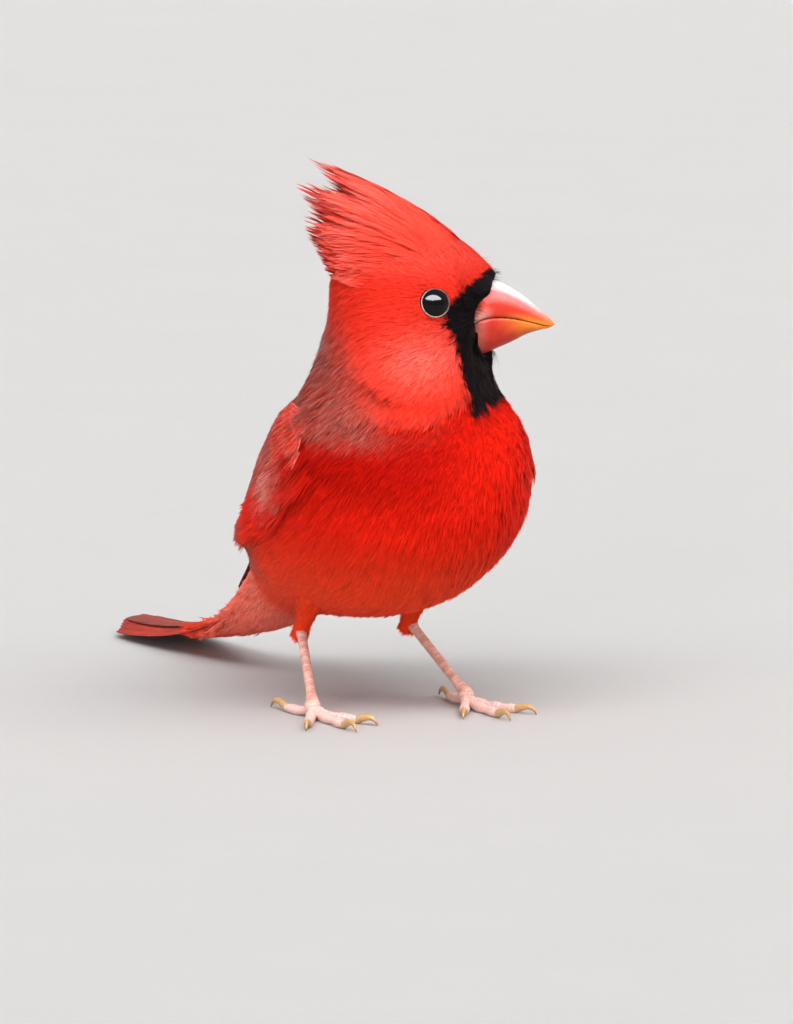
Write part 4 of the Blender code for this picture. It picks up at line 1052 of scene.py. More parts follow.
def tail_piece(material):
    """Twelve tail feathers: each of the six to a side lies lower than the one inside it."""
    rng = np.random.default_rng(SEED + 70)
    parts = []
    for k in range(6):
        for side in (1, -1):
            share = np.linspace(0.05, 1.0 - 0.014 * k, 60)
            line, up = tail_line(share)
            outer = 4.4 + 1.6 * share + k / 5 * (2.3 + 4.6 * share)
            inner = np.maximum(outer - 10.5, -4.4 if k == 0 else 0.25)
            t = (share - share[0]) / (share[-1] - share[0])
            half = (outer - inner) / 2 * feather_shape(t, 0.8, 0.82)
            level = 1.5 - 0.42 * k - (0.4 if k == 0 and side < 0 else 0.0)
            spine = line + up * (level * (0.5 + 0.5 * share))[:, None]
            spine[:, 1] = side * (outer + inner) / 2
            spine[:, 2] = np.maximum(spine[:, 2], 0.45)
            dusk = 0.35 * smooth_step(0.75, 1.0, t) + (0.2 if k == 0 else 0.0)
            parts.append(quill(spine, up, half, rng, side=side, roll=-side * 0.03, outer=0.36, dusk=dusk))
    return add_quills("tail_feathers", parts, material, ("tail",))


def wing_line(share, lane, side, height):
    """Points over the body and their outward directions along the folded wing (share) and
    across it from its upper edge to its lower one (lane)."""
    station = np.interp(share, WING_AT, WING_STATION) + 5.0 * np.clip(-share, 0, 1)
    upper, lower = np.interp(share, WING_AT, WING_UPPER), np.interp(share, WING_AT, WING_LOWER)
    return on_coat(station, np.radians(upper + (lower - upper) * lane) * side, height)


def wing_breadth(share):
    low, _ = wing_line(share, np.zeros_like(share), 1, 0.0)
    high, _ = wing_line(share, np.ones_like(share), 1, 0.0)
    return np.linalg.norm(high - low, axis=-1)


def wing_quills(name, side, material, nodes):
    """Eighteen flight feathers of a folded wing, from the innermost down to the outermost, each
    lying over the one below it, with the ten greater coverts over their bases. The lane of each
    moves up as those above it come to their ends."""
    rng = np.random.default_rng(SEED + 80)
    count = 18
    ends = np.interp(np.linspace(0, 8, count), range(9), FLIGHT_ENDS)
    parts = []
    for j, end in enumerate(ends):
        t = np.linspace(0, 1, 36)
        share = 0.3 + (end - 0.3) * t
        ended = np.interp(share, (0.5, 0.7, 0.8, 1.0), (0.0, 3.6, 8.4, 12.0))
        lane = np.clip((j + 0.5 - ended) / (count - ended), 0.03, 0.98)
        pitch = wing_breadth(share) / (count - ended)
        half = np.maximum(pitch * 1.3, 1.5) * feather_shape(t, 0.7, 0.7)
        points, normals = wing_line(share, lane, side, 1.5 - 0.02 * j - 0.4 * smooth_step(0.6, 1.0, share))
        dusk = 0.45 * smooth_step(0.5, 1.0, t) * (j > 6) + 0.3 * (j < 3)
        options = {"side": side, "roll": side * 0.14, "outer": 0.5 if j < 3 else 0.42, "thick": 0.22}
        parts.append(quill(points, normals, half, rng, dusk=dusk, **options))
    for j in range(10):
        t = np.linspace(0, 1, 22)
        share = 0.15 + (0.3 - 0.012 * j) * t
        lane = np.full(len(t), (j + 0.5) / 10.6)
        half = wing_breadth(share) / 10 * 0.78 * feather_shape(t, 0.7, 0.6)
        points, normals = wing_line(share, lane, side, 1.7 - 0.02 * j - 1.4 * smooth_step(0.4, 0.0, t))
        options = {"side": side, "roll": side * 0.12, "outer": 0.5, "thick": 0.2}
        parts.append(quill(points, normals, half, rng, dusk=0.1 * np.ones(len(t)), **options))
    return add_quills(name, parts, material, nodes)


def wing_coverts(name, side, material):
    """Soft coverts in rows over the folded wing, from the tips forward to its bend."""
    rng = np.random.default_rng(SEED + 90)
    rows = (
        (0.2, 0.17, 14, 0.02, 0.98, 1.7, 2.4),
        (0.15, 0.15, 13, 0.02, 0.98, 1.6, 2.3),
        (0.1, 0.11, 12, 0.04, 0.9, 1.6, 2.2),
        (0.05, 0.09, 10, 0.05, 0.8, 1.2, 1.9),
        (0.02, 0.07, 9, 0.07, 0.72, 0.7, 1.5),
        (-0.01, 0.05, 7, 0.1, 0.68, 0.3, 1.0),
        (-0.03, 0.04, 5, 0.15, 0.62, 0.0, 0.6),
    )
    spines, normals, widths, lows, highs = [], [], [], [], []
    t = np.linspace(0, 1, 6)
    for start, run, number, first, last, low, high in rows:
        for lane in np.linspace(first, last, number):
            share = start + rng.normal(0, 0.005) + run * t
            points, up = wing_line(share, np.full(6, lane + rng.normal(0, 0.01)), side, 0.0)
            spines.append(points)
            normals.append(up)
            widths.append(wing_breadth(np.array([start + run * 0.6]))[0] / number * 2.0)
            lows.append(low - 0.9)
            highs.append(high)
    spine, normal = np.array(spines), np.array(normals)
    tangent = unit(np.gradient(spine, axis=1))
    across = unit(np.cross(tangent, normal))
    normal = unit(np.cross(across, tangent))
    width, low, high = (np.array(v) for v in (widths, lows, highs))
    options = {"rounding": 0.34, "loose": 0.1, "fan": 0.16, "cup": 0.35, "ribbon": 1.0}
    points, triangles, shading, share, who, barb = strand_feathers(
        rng, spine, across, normal, width, 36, low, high, **options
    )
    mesh, loops = write_mesh(name, points, triangles, normals=shading)
    marks = {k: v[who] for k, v in markings(spine[:, 3]).items()}
    fringe = np.clip(barb**2 + smooth_step(0.75, 1.05, share) + strand_luck(rng, share, 0.3), 0, 1)
    marks["grey"], marks["pale"] = 0.14 * fringe, 0.62 * fringe
    marks["dull_and_shade"] = np.full(len(points), 0.4)
    marks["deep_red_and_shade"] = np.zeros(len(points))
    luck = rng.normal(1.0, 0.06, len(width))[who] * (1 + strand_luck(rng, share, 0.05))
    add_values(mesh, tip=smooth_step(0.25, 1.0, share), luck=luck, **marks)
    places = 0.5 + (spine[:, 0] @ np.array([[0.003, 0], [0, 0.003], [0.0, 0.001]]))
    add_bake_map(mesh, loops, np.clip(places[who] + np.stack([barb, share], -1) * 0.0015, 0, 1))
    return add_piece(name, mesh, material)


def bill_half(half):
    """One half of the bill as a vault over the mouth line. At each section the vault's height
    follows cos^0.85 of the angle and its width |sin|^0.9, and its floor is slightly hollow."""
    rows = smooth_rows(BILL, np.linspace(0.0, len(BILL) - 1, 70))
    arc = np.linspace(-math.pi / 2, math.pi / 2, 41)
    culmen, mouth, lower, width = rows[:, 0:2], rows[:, 2:4], rows[:, 4:6], rows[:, 6]
    far = culmen if half > 0 else lower
    reach = unit(far - mouth)
    gap = 0.16 if half > 0 else 0.1
    start = mouth + reach * gap * np.minimum(1, width / 1.0)[:, None]
    vault = start[:, None] + (far - start)[:, None] * (np.cos(arc)[None, :, None]) ** 0.85
    side = width[:, None] * np.sign(np.sin(arc)) * np.abs(np.sin(arc)) ** 0.9
    side = side * (1.0 if half > 0 else 0.95) * half
    ring = np.stack([vault[..., 0], side, vault[..., 1]], -1)
    across = np.linspace(0, 1, 14)[1:-1]
    flat = ring[:, -1:] + (ring[:, :1] - ring[:, -1:]) * across[None, :, None]
    rings = np.concatenate([ring, flat], 1)
    ridge = np.concatenate([np.cos(arc), np.zeros(len(across))]) * (1.0 if half > 0 else 0.35)
    return rings, ridge, np.linspace(0, 1, len(rows))


def bill_piece(name, half, material, node_name):
    rings, ridge, reach = bill_half(half)
    points, quads, triangles = closed_body(head_frame(rings))
    mesh, _ = write_mesh(name, points, triangles, quads)
    rows, sides = rings.shape[:2]
    ridge = np.concatenate([np.tile(ridge, rows), [0, 0]])
    reach = np.concatenate([np.repeat(reach, sides), [0, 1]])
    edge = np.clip(1 - np.abs(ridge) / 0.45, 0, 1)
    base = smooth_step(0.34, 0.12, reach)
    add_values(mesh, ridge=ridge, reach=reach, gape=base * (0.5 if half < 0 else edge), edge=edge)
    return add_piece(name, mesh, material, (node_name,))


def bristle_piece(material):
    """Fine black bristles from the rim of the face: over the nostrils, round the gape and in
    loose wisps off the chin. Each leaves the face forward and curves down."""
    rng = np.random.default_rng(SEED + 120)
    count = 420
    k = np.arange(1, count + 1)
    around = FULL_TURN * np.mod(k / 1.324717957, 1)
    station = rim_station(around) - 0.05 - 1.1 * np.mod(k / 1.324717957**2, 1) ** 2
    root, normal = on_coat(station, around, -0.3)
    down = np.clip(-np.cos(around), 0, 1)
    length = 1.6 + 0.1 * down + rng.uniform(-0.5, 0.6, count)
    t = np.linspace(0, 1, 5)[None, :, None]
    forward = head_way(np.array([1.0, 0.0, 0.0]) + np.zeros((count, 3)))
    forward = forward * (0.9 - 0.7 * down)[:, None] + normal * (0.35 + 0.1 * down)[:, None]
    forward = forward + rng.normal(0, 0.16, (count, 3))
    fall = np.array([0.0, 0.0, -1.0]) * (0.35 + 0.9 * down)[:, None]
    spine = root[:, None] + (forward[:, None] * t + fall[:, None] * t**2) * length[:, None, None]
    tangent = unit(np.gradient(spine, axis=1))
    across = unit(np.cross(tangent, normal[:, None]))
    width = np.full(count, 0.5)
    low = high = np.zeros(count)
    points, triangles, shading, share, who, barb = strand_feathers(
        rng, spine, across, unit(np.cross(across, tangent)), width, 3, low, high, ribbon=0.16, loose=0.3
    )
    mesh, loops = write_mesh("face_bristles", points, triangles, normals=shading)
    zero = np.zeros(len(points))
    marks = {k: zero for k in ("pale", "grey", "deep_red_and_shade", "dull_and_shade", "warm")}
    marks["mask"] = np.concatenate([markings(root[:, None])["mask"].ravel()])[who]
    marks["hood"] = zero + 1
    add_values(mesh, tip=share, luck=zero + 1, **marks)
    places = bake_place(station, around)[who] + np.stack([barb, share], -1) * 0.0015
    add_bake_map(mesh, loops, np.clip(places, 0, 1))
    return add_piece("face_bristles", mesh, material)


def eye_piece(name, side, material, node_name):
    """An eyeball: a sphere whose wet front fills the opening of the lids. ray is the distance
    from the middle of that opening, as a share of its radius."""
    centre, look, _ = eye_place(side)
    polar = np.linspace(0, math.pi, 49)[:, None]
    turn = np.linspace(0, FULL_TURN, 64, endpoint=False)[None]
    a = unit(np.cross(look, (0.0, 0.0, 1.0)))
    b = np.cross(look, a)
    ring = look * np.cos(polar)[..., None] + (a * np.cos(turn)[..., None] + b * np.sin(turn)[..., None]) * np.sin(polar)[..., None]
    points, quads, triangles = closed_body((centre + ring * EYE_RADIUS)[1:-1])
    mesh, _ = write_mesh(name, points, triangles, quads)
    away = (points - centre) @ look
    off = np.linalg.norm(points - centre - away[:, None] * look, axis=1)
    add_values(mesh, ray=np.where(away > 0, off / EYE_OPENING, 2.0))
    return add_piece(name, mesh, material, (node_name,))


def lids_piece(name, side, material):
    """The bare rim of the lids: a ring round the opening, beaded by small scales."""
    _, look, middle = eye_place(side)
    turn = np.linspace(0, FULL_TURN, 96, endpoint=False)
    small = np.linspace(0, FULL_TURN, 14, endpoint=False)
    a = unit(np.cross(look, (0.0, 0.0, 1.0)))
    b = np.cross(look, a)
    out = a * np.cos(turn)[:, None] + b * np.sin(turn)[:, None]
    thick = 0.17 * (1 + 0.12 * np.sin(turn * 26))
    centre = middle - look * 0.12 + out * (EYE_OPENING + 0.1)
    rings = centre[:, None] + (
        out[:, None] * np.cos(small)[None, :, None] + look * np.sin(small)[None, :, None] * 0.9
    ) * thick[:, None, None]
    rings = np.concatenate([rings, rings[:1]])
    points = rings.reshape(-1, 3)
    quads = grid_faces(len(rings), len(small), closed=True) % (len(turn) * len(small))
    points = points[: len(turn) * len(small)]
    if ring_volume(points, quads) < 0:
        quads = quads[:, ::-1]
    mesh, _ = write_mesh(name, points, None, quads)
    # Painted shade: the rim is darker where it faces forward and up.
    lit = out @ unit(head_way(np.array([-1.0, 0.0, -0.9])))
    add_values(mesh, shade=np.repeat(smooth_step(0.6, -0.7, lit) * 0.85, len(small)))
    return add_piece(name, mesh, material)


def scutes(t, angle, number, depth):
    """Plates that overlap along a leg: a saw-tooth along t and softer on the sole's side."""
    phase = np.mod(t * number, 1.0)
    plate = np.minimum(phase / 0.85, (1 - phase) / 0.15)
    front = 0.5 + 0.5 * np.sin(angle)
    return 1 + depth * (plate[:, None] - 0.5) * (0.35 + 0.65 * front[None]), np.broadcast_to(plate[:, None], (len(t), len(angle)))


def leg_tube(path, radii, number, depth, toe, sides=26, flatten=1.0):
    t = np.linspace(0, 1, len(path))
    angle = np.linspace(0, FULL_TURN, sides, endpoint=False)
    bulge, plate = scutes(t, angle, number, depth)
    rings, _ = tube_rings(path, radii, sides, flatten, bulge)
    rings[..., 2] = np.maximum(rings[..., 2], 0.03)
    points, quads, triangles = closed_body(rings)
    values = np.stack([plate.ravel(), np.full(plate.size, toe)], -1)
    return points, quads, triangles, np.vstack([values, [[1, toe], [1, toe]]])


def toe_path(knob, heading, reach):
    """Middle line of a toe at distances from the knob: it comes down to run along the floor."""
    rest = TOE_RADIUS * 0.9
    path = np.array([knob[0], knob[1], 0.0]) + heading * reach[:, None]
    path[:, 2] = rest + (knob[2] - 0.9 - rest) * np.clip(1 - reach / 6.5, 0, 1) ** 1.5
    return path


def leg_pieces(side_name, side, skin, horn):
    """A leg with its toes, and its four claws as a piece of their own."""
    ankle = np.array([ANKLE[0], side * ANKLE[1], ANKLE[2]])
    knob = np.array([0.0, side * FOOT_Y, KNOB_Z])
    t = np.linspace(-0.06, 1.0, 160)
    path = ankle + (knob - ankle) * t[:, None]
    swell = 1 + 0.45 * np.exp(-((t / 0.08) ** 2)) + 0.5 * np.exp(-(((1 - t) / 0.1) ** 2))
    parts = [leg_tube(path, SHANK_RADIUS * 0.93 * swell, 11, 0.09, 0.0)]
    knob_line = knob + np.linspace(-1, 1, 30)[:, None] * (0.0, 0.0, 1.75)
    ball = KNOB_RADIUS * np.sqrt(np.clip(1 - np.linspace(-0.98, 0.98, 30) ** 2, 0, 1))
    knob_line[:, 0] += np.linspace(-1e-3, 1e-3, 30)
    parts.append(leg_tube(knob_line - (0.1, 0, 0.35), ball, 3, 0.05, 0.4))
    claws = []
    for number, angle, length, claw in TOES:
        turn = math.radians(angle) * side
        heading = np.array([math.cos(turn), math.sin(turn), 0.0])
        u = np.linspace(0, 1, 90)
        path = toe_path(knob, heading, length * u)
        joints = 2 if number == 1 else number
        pads = 1 + 0.12 * np.cos(u * FULL_TURN * (joints - 0.5)) - 0.22 * u**1.5
        close = np.sqrt(np.clip(1 - np.clip((u - 0.94) / 0.065, 0, 1) ** 2, 0.02, 1))
        parts.append(leg_tube(path, TOE_RADIUS * pads * close, 6 + 2 * joints, 0.16, 1.0))
        claws.append(claw_body(path[-1] - heading * 0.9, heading, claw + 0.9))
    points, quads, triangles, values = gather(parts)
    mesh, _ = write_mesh(f"leg_{side_name}", points, triangles, quads)
    add_values(mesh, plate=values[:, 0], toe=values[:, 1])
    toes = [f"toe_{side_name}_{n}" for n in range(1, 5)]
    add_piece(f"leg_{side_name}_skin", mesh, skin, (f"shank_{side_name}", f"foot_{side_name}", *toes))
    points, quads, triangles, reach = gather(claws)
    mesh, _ = write_mesh(f"claws_{side_name}", points, triangles, quads)
    add_values(mesh, reach=reach)
    add_piece(f"claws_{side_name}", mesh, horn, [f"claw_{side_name}_{n}" for n in range(1, 5)])


def claw_body(root, heading, length):
    """A hooked cone: it arches by a sine over the floor and comes down to its point."""
    t = np.linspace(0, 1, 40)
    path = root + heading * (length * np.sin(t * 1.35) / math.sin(1.35))[:, None] * 0.95
    path[:, 2] = root[2] * (1 - t) + 0.2 * t + np.sin(t * math.pi) * length * 0.2
    rings, _ = tube_rings(path, 0.78 * (1 - t) ** 0.7 + 0.07, 18, 1.15)
    rings[..., 2] = np.maximum(rings[..., 2], 0.03)
    points, quads, triangles = closed_body(rings)
    return points, quads, triangles, np.concatenate([np.repeat(t, 18), [0, 1]])


def thigh_piece(side_name, side, material):
    """The tuft round the top of the leg: a cone of skin and soft feathers that point down it."""
    rng = np.random.default_rng(SEED + 110)
    hip = np.array([-8.0, side * 13.5, 33.0])
    ankle = np.array([ANKLE[0] + 1.2, side * ANKLE[1], ANKLE[2] + 0.8])
    t = np.linspace(0, 1, 40)
    path = hip + (ankle - hip) * t[:, None]
    rings, _ = tube_rings(path, 1.3 + 5.0 * (1 - t) ** 1.2, 32)
    skin = closed_body(rings)
    count = 620
    k = np.arange(1, count + 1)
    q = 0.2 + 0.86 * np.mod(k / 1.324717957, 1) ** 0.8
    angle = FULL_TURN * np.mod(k / 1.324717957**2, 1)
    way = unit(ankle - hip)
    level = unit(np.cross(way, (0.0, 0.0, 1.0)))
    upright = np.cross(level, way)
    out = level * np.cos(angle)[:, None] + upright * np.sin(angle)[:, None]
    length = (6.5 - 2.8 * q) * rng.uniform(0.8, 1.15, count)
    s = np.linspace(0, 1, 5)
    place = q[:, None] + s * (length / np.linalg.norm(ankle - hip))[:, None]
    radius = 1.25 + 5.4 * np.clip(1 - place, 0, 1) ** 1.1 + 0.9 * s * smooth_step(0.4, 1.0, q)[:, None]
    spine = hip + (ankle - hip) * place[..., None] + out[:, None] * radius[..., None]
    tangent = unit(np.gradient(spine, axis=1))
    across = unit(np.cross(tangent, out[:, None]))
    normal = unit(np.cross(across, tangent))
    width = 2.6 - 1.5 * q
    points, triangles, shading, share, who, barb = strand_feathers(
        rng, spine, across, normal, width, 11, np.full(count, -0.6), np.full(count, 0.1), rounding=0.4
    )
    n = len(points)
    mesh, loops = write_mesh(
        f"thigh_{side_name}_feathers",
        np.vstack([points, skin[0]]),
        np.vstack([triangles, skin[2] + n]),
        skin[1] + n,
        normals=shading,
    )
    every = np.vstack([spine[:, 2][who], skin[0]])
    marks = markings(every)
    # The cone of skin under the tuft is darker: a luck of 0.8, and a tip of 0.3 that gives it most of the painted root
    # shade.
    luck = np.concatenate([rng.normal(1.0, 0.08, count)[who], np.full(len(skin[0]), 0.8)])
    tip = np.concatenate([smooth_step(0.2, 1.0, share), np.full(len(skin[0]), 0.3)])
    add_values(mesh, tip=tip, luck=luck, **marks)
    place = np.stack([angle / FULL_TURN, q], -1)[who] * 0.9 + 0.05
    place = place + np.stack([barb, share], -1) * 0.0015
    cone = np.stack([np.tile(np.linspace(0, 1, 32), 40), np.repeat(t, 32)], -1) * 0.9 + 0.05
    add_bake_map(mesh, loops, np.vstack([place, cone, [[0.5, 0.02], [0.5, 0.98]]]))
    return add_piece(f"thigh_{side_name}_feathers", mesh, material, (f"thigh_{side_name}",))


def colour_property(name, text, hexed):
    return bpy.props.FloatVectorProperty(
        name=name, description=text, subtype="COLOR", size=3, min=0.0, max=1.0, default=tuple(srgb(hexed))
    )


class CardinalColours(bpy.types.PropertyGroup):
    """Colours of the bird's finishes."""

    breast: colour_property("Breast", "Saturated red of the breast", "E8200E")
    hood: colour_property("Head", "Orange red of the head and crest", "DC2E1E")
    # A deeper red that is partly painted shade below the hood.
    deep_red_and_shade: colour_property("Deep red", "Darkest red under the hood", "AE0E05")
    warm: colour_property("Belly", "Warmer red of the belly and rump", "F64A24")
    # Also used for painted shade below the cheek patch and the hood.
    dull_and_shade: colour_property("Neck", "Brownish red of the hind neck and back", "A03020")
    pale: colour_property("Cheek", "Pale red of the cheek", "FF8C7A")
    fringe: colour_property("Fringe", "Grey edges of the neck and back feathers", "B49C96")
    # Also used for the painted shadow under the eye.
    mask: colour_property("Mask", "Black of the face and bib", "0E0B0D")
    wing_outer: colour_property("Wing, outer webs", "Dull red of the wing's outer webs", "AA3628")
    wing_inner: colour_property("Wing, inner webs", "Grey brown of the wing's inner webs", "4E3834")
    tail_outer: colour_property("Tail, outer webs", "Red of the tail", "A62C1C")
    tail_inner: colour_property("Tail, inner webs", "Brown red of the tail's inner webs", "6E281E")
    shaft: colour_property("Shaft", "Dark brown of the feather shafts", "4A1C16")
    bill: colour_property("Bill", "Coral of the bill by the cutting edges", "C23020")
    bill_side: colour_property("Bill side", "Pinker coral of the bill's sides", "EC6862")
    # Colour of the painted highlight along the bill's upper ridge.
    bill_ridge_highlight: colour_property("Bill ridge", "Pale pink along the bill's ridge", "F6E2E6")
    bill_tip: colour_property("Bill tip", "Yellow orange of the bill's tip", "F08A2E")
    bill_gape: colour_property("Gape", "Pale skin at the corner of the mouth", "D8A090")
    iris: colour_property("Iris", "Dark brown of the iris", "0B0706")
    lid: colour_property("Lid", "Grey of the bare lids", "A8968F")
    # Used for the real darker folds and for the lids' painted shade.
    lid_folds_and_shade: colour_property("Lid folds", "Darker folds of the lids", "382C2A")
    leg: colour_property("Leg", "Pinkish brown of the legs", "E6B2A4")
    leg_dark: colour_property("Leg, darker", "Darker patches of the legs", "BC8270")
    leg_seam: colour_property("Leg seams", "Pale seams between the leg's plates", "ECD2C8")
    toe: colour_property("Toes", "Pale pink of the toes", "E0B8AE")
    claw: colour_property("Claw", "Ochre of the claws", "C29A68")
    claw_tip: colour_property("Claw tip", "Darker brown of the claw points", "96704A")
    floor: colour_property("Floor", "Pale floor", "B4B1AE")


def count_property(name, text, default):
    return bpy.props.IntProperty(name=name, description=text, default=default, min=0)


def length_property(name, text, default_mm):
    return bpy.props.FloatProperty(
        name=name, description=text, default=default_mm * MM, min=0.0, unit="LENGTH", subtype="DISTANCE"
    )


class CardinalSizes(bpy.types.PropertyGroup):
    """Numbers of feathers, and the camera's distances."""

    body_feathers: count_property("Body feathers", "Feathers from the tail to the breast", 5200)
    neck_feathers: count_property("Neck feathers", "Feathers of the neck", 3400)
    head_feathers: count_property("Head feathers", "Feathers of the cheeks and crown", 6400)
    face_feathers: count_property("Face feathers", "Feathers round the bill", 3400)
    camera_distance: length_property("Camera distance", "From the camera to the bird", 3000.0)
    picture_height: length_property("Picture height", "Height of the view at the bird", 232.7)


class CardinalPiece:
    """What the operators share: their settings and the finishes that they have made."""

    bl_options = {"REGISTER", "UNDO"}

    @staticmethod
    def material(context, name, make):
        return bpy.data.materials.get(name) or make(context.scene.cardinal_colours)


class CARDINAL_OT_skin(CardinalPiece, bpy.types.Operator):
    """Adds the skin under the coat"""

    bl_idname = "cardinal.skin"
    bl_label = "Skin"

    def execute(self, context):
        skin_piece(self.material(context, "feather_red", plumage_material))
        return {"FINISHED"}


class CARDINAL_OT_plumage(CardinalPiece, bpy.types.Operator):
    """Adds the soft feathers of the body, neck and head"""

    bl_idname = "cardinal.plumage"
    bl_label = "Body plumage"

    def execute(self, context):
        red = self.material(context, "feather_red", plumage_material)
        sizes = context.scene.cardinal_sizes
        body, neck, head, face = sizes.body_feathers, sizes.neck_feathers, sizes.head_feathers, sizes.face_feathers
        quick = {"cuts": (0.0, 0.55, 1.0)}
        plumage_piece("plumage_rump", int(body * 0.3), -0.4, 3.2, 20, red, 1, fluff=1.6)
        plumage_piece("plumage_belly", int(body * 0.2), 3.2, 4.9, 20, red, 2, fluff=1.6)
        plumage_piece("plumage_flank", int(body * 0.24), 4.9, 6.6, 20, red, 8, fluff=1.6)
        plumage_piece("plumage_breast", int(body * 0.26), 6.6, 8.4, 20, red, 3, fluff=1.6)
        plumage_piece("plumage_neck", neck // 2, 8.4, 9.5, 15, red, 4, loose=0.16)
        plumage_piece("plumage_nape", neck // 2, 9.5, 10.6, 15, red, 9, loose=0.16)
        plumage_piece("plumage_cheeks", head // 2, 10.6, 12.8, 12, red, 5, loose=0.15, **quick)
        plumage_piece("plumage_crown", head // 2, 12.8, 15.0, 12, red, 6, loose=0.15, **quick)
        plumage_piece("plumage_face", face, 15.0, 16.98, 9, red, 7, loose=0.15, **quick)
        thigh_piece("left", 1, red)
        thigh_piece("right", -1, red)
        return {"FINISHED"}


class CARDINAL_OT_crest(CardinalPiece, bpy.types.Operator):
    """Adds the crest feathers"""

    bl_idname = "cardinal.crest"
    bl_label = "Crest"

    def execute(self, context):
        crest_piece(self.material(context, "feather_red", plumage_material))
        return {"FINISHED"}


def wing_finish(colours):
    return quill_material("wing_quill", colours.wing_outer, colours.wing_inner, colours.shaft)


def tail_finish(colours):
    return quill_material("tail_quill", colours.tail_outer, colours.tail_inner, colours.shaft)


class CARDINAL_OT_wings(CardinalPiece, bpy.types.Operator):
    """Adds the folded wings with their flight feathers and coverts"""

    bl_idname = "cardinal.wings"
    bl_label = "Wings"

    def execute(self, context):
        quills = self.material(context, "wing_quill", wing_finish)
        soft = self.material(context, "feather_red", plumage_material)
        for name, side in (("left", 1), ("right", -1)):
            wing_quills(f"wing_{name}_quills", side, quills, (f"wing_{name}",))
            wing_coverts(f"wing_{name}_coverts", side, soft)
        return {"FINISHED"}


class CARDINAL_OT_tail(CardinalPiece, bpy.types.Operator):
    """Adds the twelve tail feathers"""

    bl_idname = "cardinal.tail"
    bl_label = "Tail"

    def execute(self, context):
        tail_piece(self.material(context, "tail_quill", tail_finish))
        return {"FINISHED"}


class CARDINAL_OT_bill(CardinalPiece, bpy.types.Operator):
    """Adds the two halves of the bill"""

    bl_idname = "cardinal.bill"
    bl_label = "Bill"

    def execute(self, context):
        keratin = self.material(context, "bill_keratin", bill_material)
        bill_piece("bill_upper_horn", 1, keratin, "bill_upper")
        bill_piece("bill_lower_horn", -1, keratin, "bill_lower")
        bristle_piece(self.material(context, "feather_red", plumage_material))
        return {"FINISHED"}


class CARDINAL_OT_eyes(CardinalPiece, bpy.types.Operator):
    """Adds the eyes and their bare lids"""

    bl_idname = "cardinal.eyes"
    bl_label = "Eyes"

    def execute(self, context):
        wet = self.material(context, "eye_cornea", eye_material)
        bare = self.material(context, "eyelid_skin", lid_material)
        for name, side in (("left", 1), ("right", -1)):
            eye_piece(f"eyeball_{name}", side, wet, f"eye_{name}")
            lids_piece(f"lids_{name}", side, bare)
        return {"FINISHED"}


class CARDINAL_OT_legs(CardinalPiece, bpy.types.Operator):
    """Adds the legs, toes and claws"""

    bl_idname = "cardinal.legs"
    bl_label = "Legs"

    def execute(self, context):
        skin = self.material(context, "leg_scutes", leg_material)
        horn = self.material(context, "claw_horn", claw_material)
        leg_pieces("left", 1, skin, horn)
        leg_pieces("right", -1, skin, horn)
        return {"FINISHED"}


VIEW_AZIMUTH, VIEW_ELEVATION = math.radians(65.0), math.radians(8.0)
VIEW_RIGHT, VIEW_UP = 1.6, 45.7


def view_axes(azimuth, elevation):
    """Directions to the right, up and back of a camera that looks down at the bird."""
    right = Vector((math.cos(azimuth), math.sin(azimuth), 0.0))
    back = Vector(
        (math.sin(azimuth) * math.cos(elevation), -math.cos(azimuth) * math.cos(elevation), math.sin(elevation))
    )
    return right, back.cross(right), back


def add_sun(name, towards, strength, spread):
    """A light from very far away, softened over the given angle of sky."""
    data = bpy.data.lights.new(name, "SUN")
    data.energy, data.angle = strength, math.radians(spread)
    light = bpy.data.objects.new(name, data)
    bpy.context.scene.collection.objects.link(light)
    light.rotation_euler = Vector(towards).to_track_quat("Z", "Y").to_euler()
    light.visible_glossy = False


def studio_air(back):
    """Soft light from all round, and from a wide bright window of sky high behind the camera,
    which is wider and brighter where it is mirrored, as in the wet eyes."""
    world = bpy.data.worlds.new("studio_air")
    world.use_nodes = True
    tree = world.node_tree
    way = node(tree, "ShaderNodeTexCoord").outputs["Generated"]
    level = Vector((back.x, back.y, 0.0)).normalized()
    facing = node(tree, "ShaderNodeVectorMath", {"operation": "DOT_PRODUCT"}, _0=way, _1=level).outputs["Value"]
    height = node(tree, "ShaderNodeSeparateXYZ", None, Vector=way).outputs["Z"]
    clouds = node(tree, "ShaderNodeTexNoise", None, Vector=way, Scale=9.0, Detail=2.0).outputs["Fac"]
    height = arithmetic(tree, "MULTIPLY_ADD", arithmetic(tree, "SUBTRACT", clouds, 0.5), 0.3, height)
    band = arithmetic(tree, "MULTIPLY", smooth_range(tree, height, 0.58, 0.66), smooth_range(tree, height, 0.96, 0.88))
    band = arithmetic(tree, "MULTIPLY", band, smooth_range(tree, facing, 0.4, 0.6))
    sky = arithmetic(tree, "MULTIPLY", smooth_range(tree, height, 0.54, 0.6), smooth_range(tree, height, 1.02, 0.99))
    sky = arithmetic(tree, "MULTIPLY", sky, smooth_range(tree, facing, 0.22, 0.34))
    mirrored = node(tree, "ShaderNodeLightPath").outputs["Is Glossy Ray"]
    seen = node(tree, "ShaderNodeMix", {"data_type": "FLOAT"}, _0=mirrored, _2=band, _3=arithmetic(tree, "MULTIPLY", sky, 3.7))
    air = tree.nodes["Background"]
    tree.links.new(arithmetic(tree, "MULTIPLY_ADD", seen.outputs[0], 11.5, 0.52), air.inputs["Strength"])
    air.inputs["Color"].default_value = (0.95, 0.97, 1.0, 1.0)
    return world


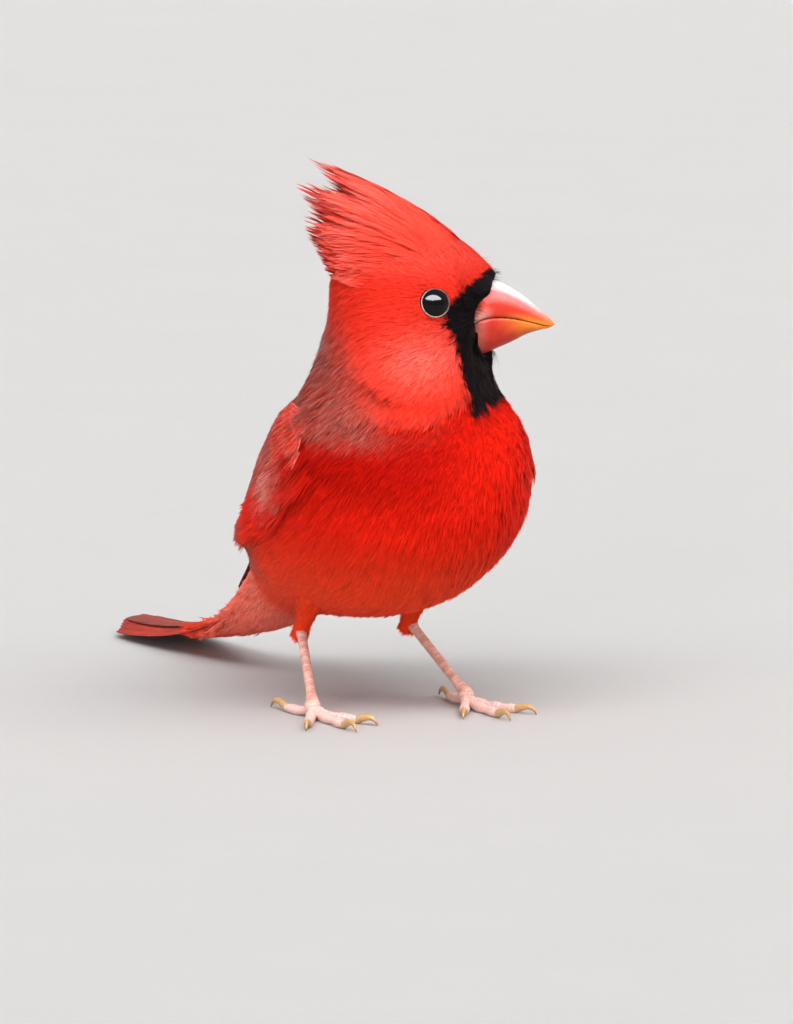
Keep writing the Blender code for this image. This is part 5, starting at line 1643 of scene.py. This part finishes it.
class CARDINAL_OT_stage(CardinalPiece, bpy.types.Operator):
    """Adds the floor, the soft lights and the camera"""

    bl_idname = "cardinal.stage"
    bl_label = "Stage"

    def execute(self, context):
        colours, sizes = context.scene.cardinal_colours, context.scene.cardinal_sizes
        half = 8000.0
        corners = np.array([(-half, -half, 0), (half, -half, 0), (half, half, 0), (-half, half, 0)], float)
        mesh, _ = write_mesh("studio_floor", corners, None, [[0, 1, 2, 3]], shift=False)
        made, tree, shader = new_material("studio_paper")
        tone = blend(tree, mottle(tree, 40.0, 0.0, 0.06), colours.floor, srgb("C8C4C0"))
        tree.links.new(tone, shader.inputs["Base Color"])
        set_shader(shader, Roughness=0.9, Specular_IOR_Level=0.02)
        mesh.materials.append(made)
        floor = bpy.data.objects.new("studio_floor", mesh)
        context.scene.collection.objects.link(floor)
        right, up, back = view_axes(VIEW_AZIMUTH, VIEW_ELEVATION)
        feet = Vector(SHIFT * MM)
        middle = feet + right * (VIEW_RIGHT * MM) + up * (VIEW_UP * MM)
        data = bpy.data.cameras.new("photo_camera")
        data.sensor_width = 36.0
        data.lens = 36.0 * sizes.camera_distance / sizes.picture_height
        data.clip_start, data.clip_end = 0.05, 60.0
        camera = bpy.data.objects.new("photo_camera", data)
        context.scene.collection.objects.link(camera)
        camera.location = middle + back * sizes.camera_distance
        camera.rotation_mode = "QUATERNION"
        camera.rotation_quaternion = back.to_track_quat("Z", "Y")
        context.scene.camera = camera
        add_sun("side_light", up + back * 0.45 + right * 1.0, 0.95, 50.0)
        add_sun("low_light", back - right * 0.25, 1.0, 30.0)
        context.scene.world = studio_air(back)
        context.scene.view_settings.view_transform = "Standard"
        return {"FINISHED"}


class CARDINAL_PT_panel(bpy.types.Panel):
    """Lists the bird's pieces and settings"""

    bl_idname = "CARDINAL_PT_panel"
    bl_label = "Cardinal"
    bl_space_type = "VIEW_3D"
    bl_region_type = "UI"
    bl_category = "Cardinal"

    def draw(self, context):
        for operator in OPERATORS:
            self.layout.operator(operator.bl_idname)
        for group in (context.scene.cardinal_sizes, context.scene.cardinal_colours):
            box = self.layout.box()
            for name in group.__annotations__:
                box.prop(group, name)


OPERATORS = (
    CARDINAL_OT_skin,
    CARDINAL_OT_plumage,
    CARDINAL_OT_crest,
    CARDINAL_OT_wings,
    CARDINAL_OT_tail,
    CARDINAL_OT_bill,
    CARDINAL_OT_eyes,
    CARDINAL_OT_legs,
    CARDINAL_OT_stage,
)
CLASSES = (CardinalColours, CardinalSizes, *OPERATORS, CARDINAL_PT_panel)


def register():
    for kind in CLASSES:
        bpy.utils.register_class(kind)
    bpy.types.Scene.cardinal_colours = bpy.props.PointerProperty(type=CardinalColours)
    bpy.types.Scene.cardinal_sizes = bpy.props.PointerProperty(type=CardinalSizes)


def unregister():
    del bpy.types.Scene.cardinal_sizes
    del bpy.types.Scene.cardinal_colours
    for kind in reversed(CLASSES):
        bpy.utils.unregister_class(kind)


def main():
    register()
    for operator in OPERATORS:
        group, name = operator.bl_idname.split(".")
        getattr(getattr(bpy.ops, group), name)()


if __name__ == "__main__":
    main()
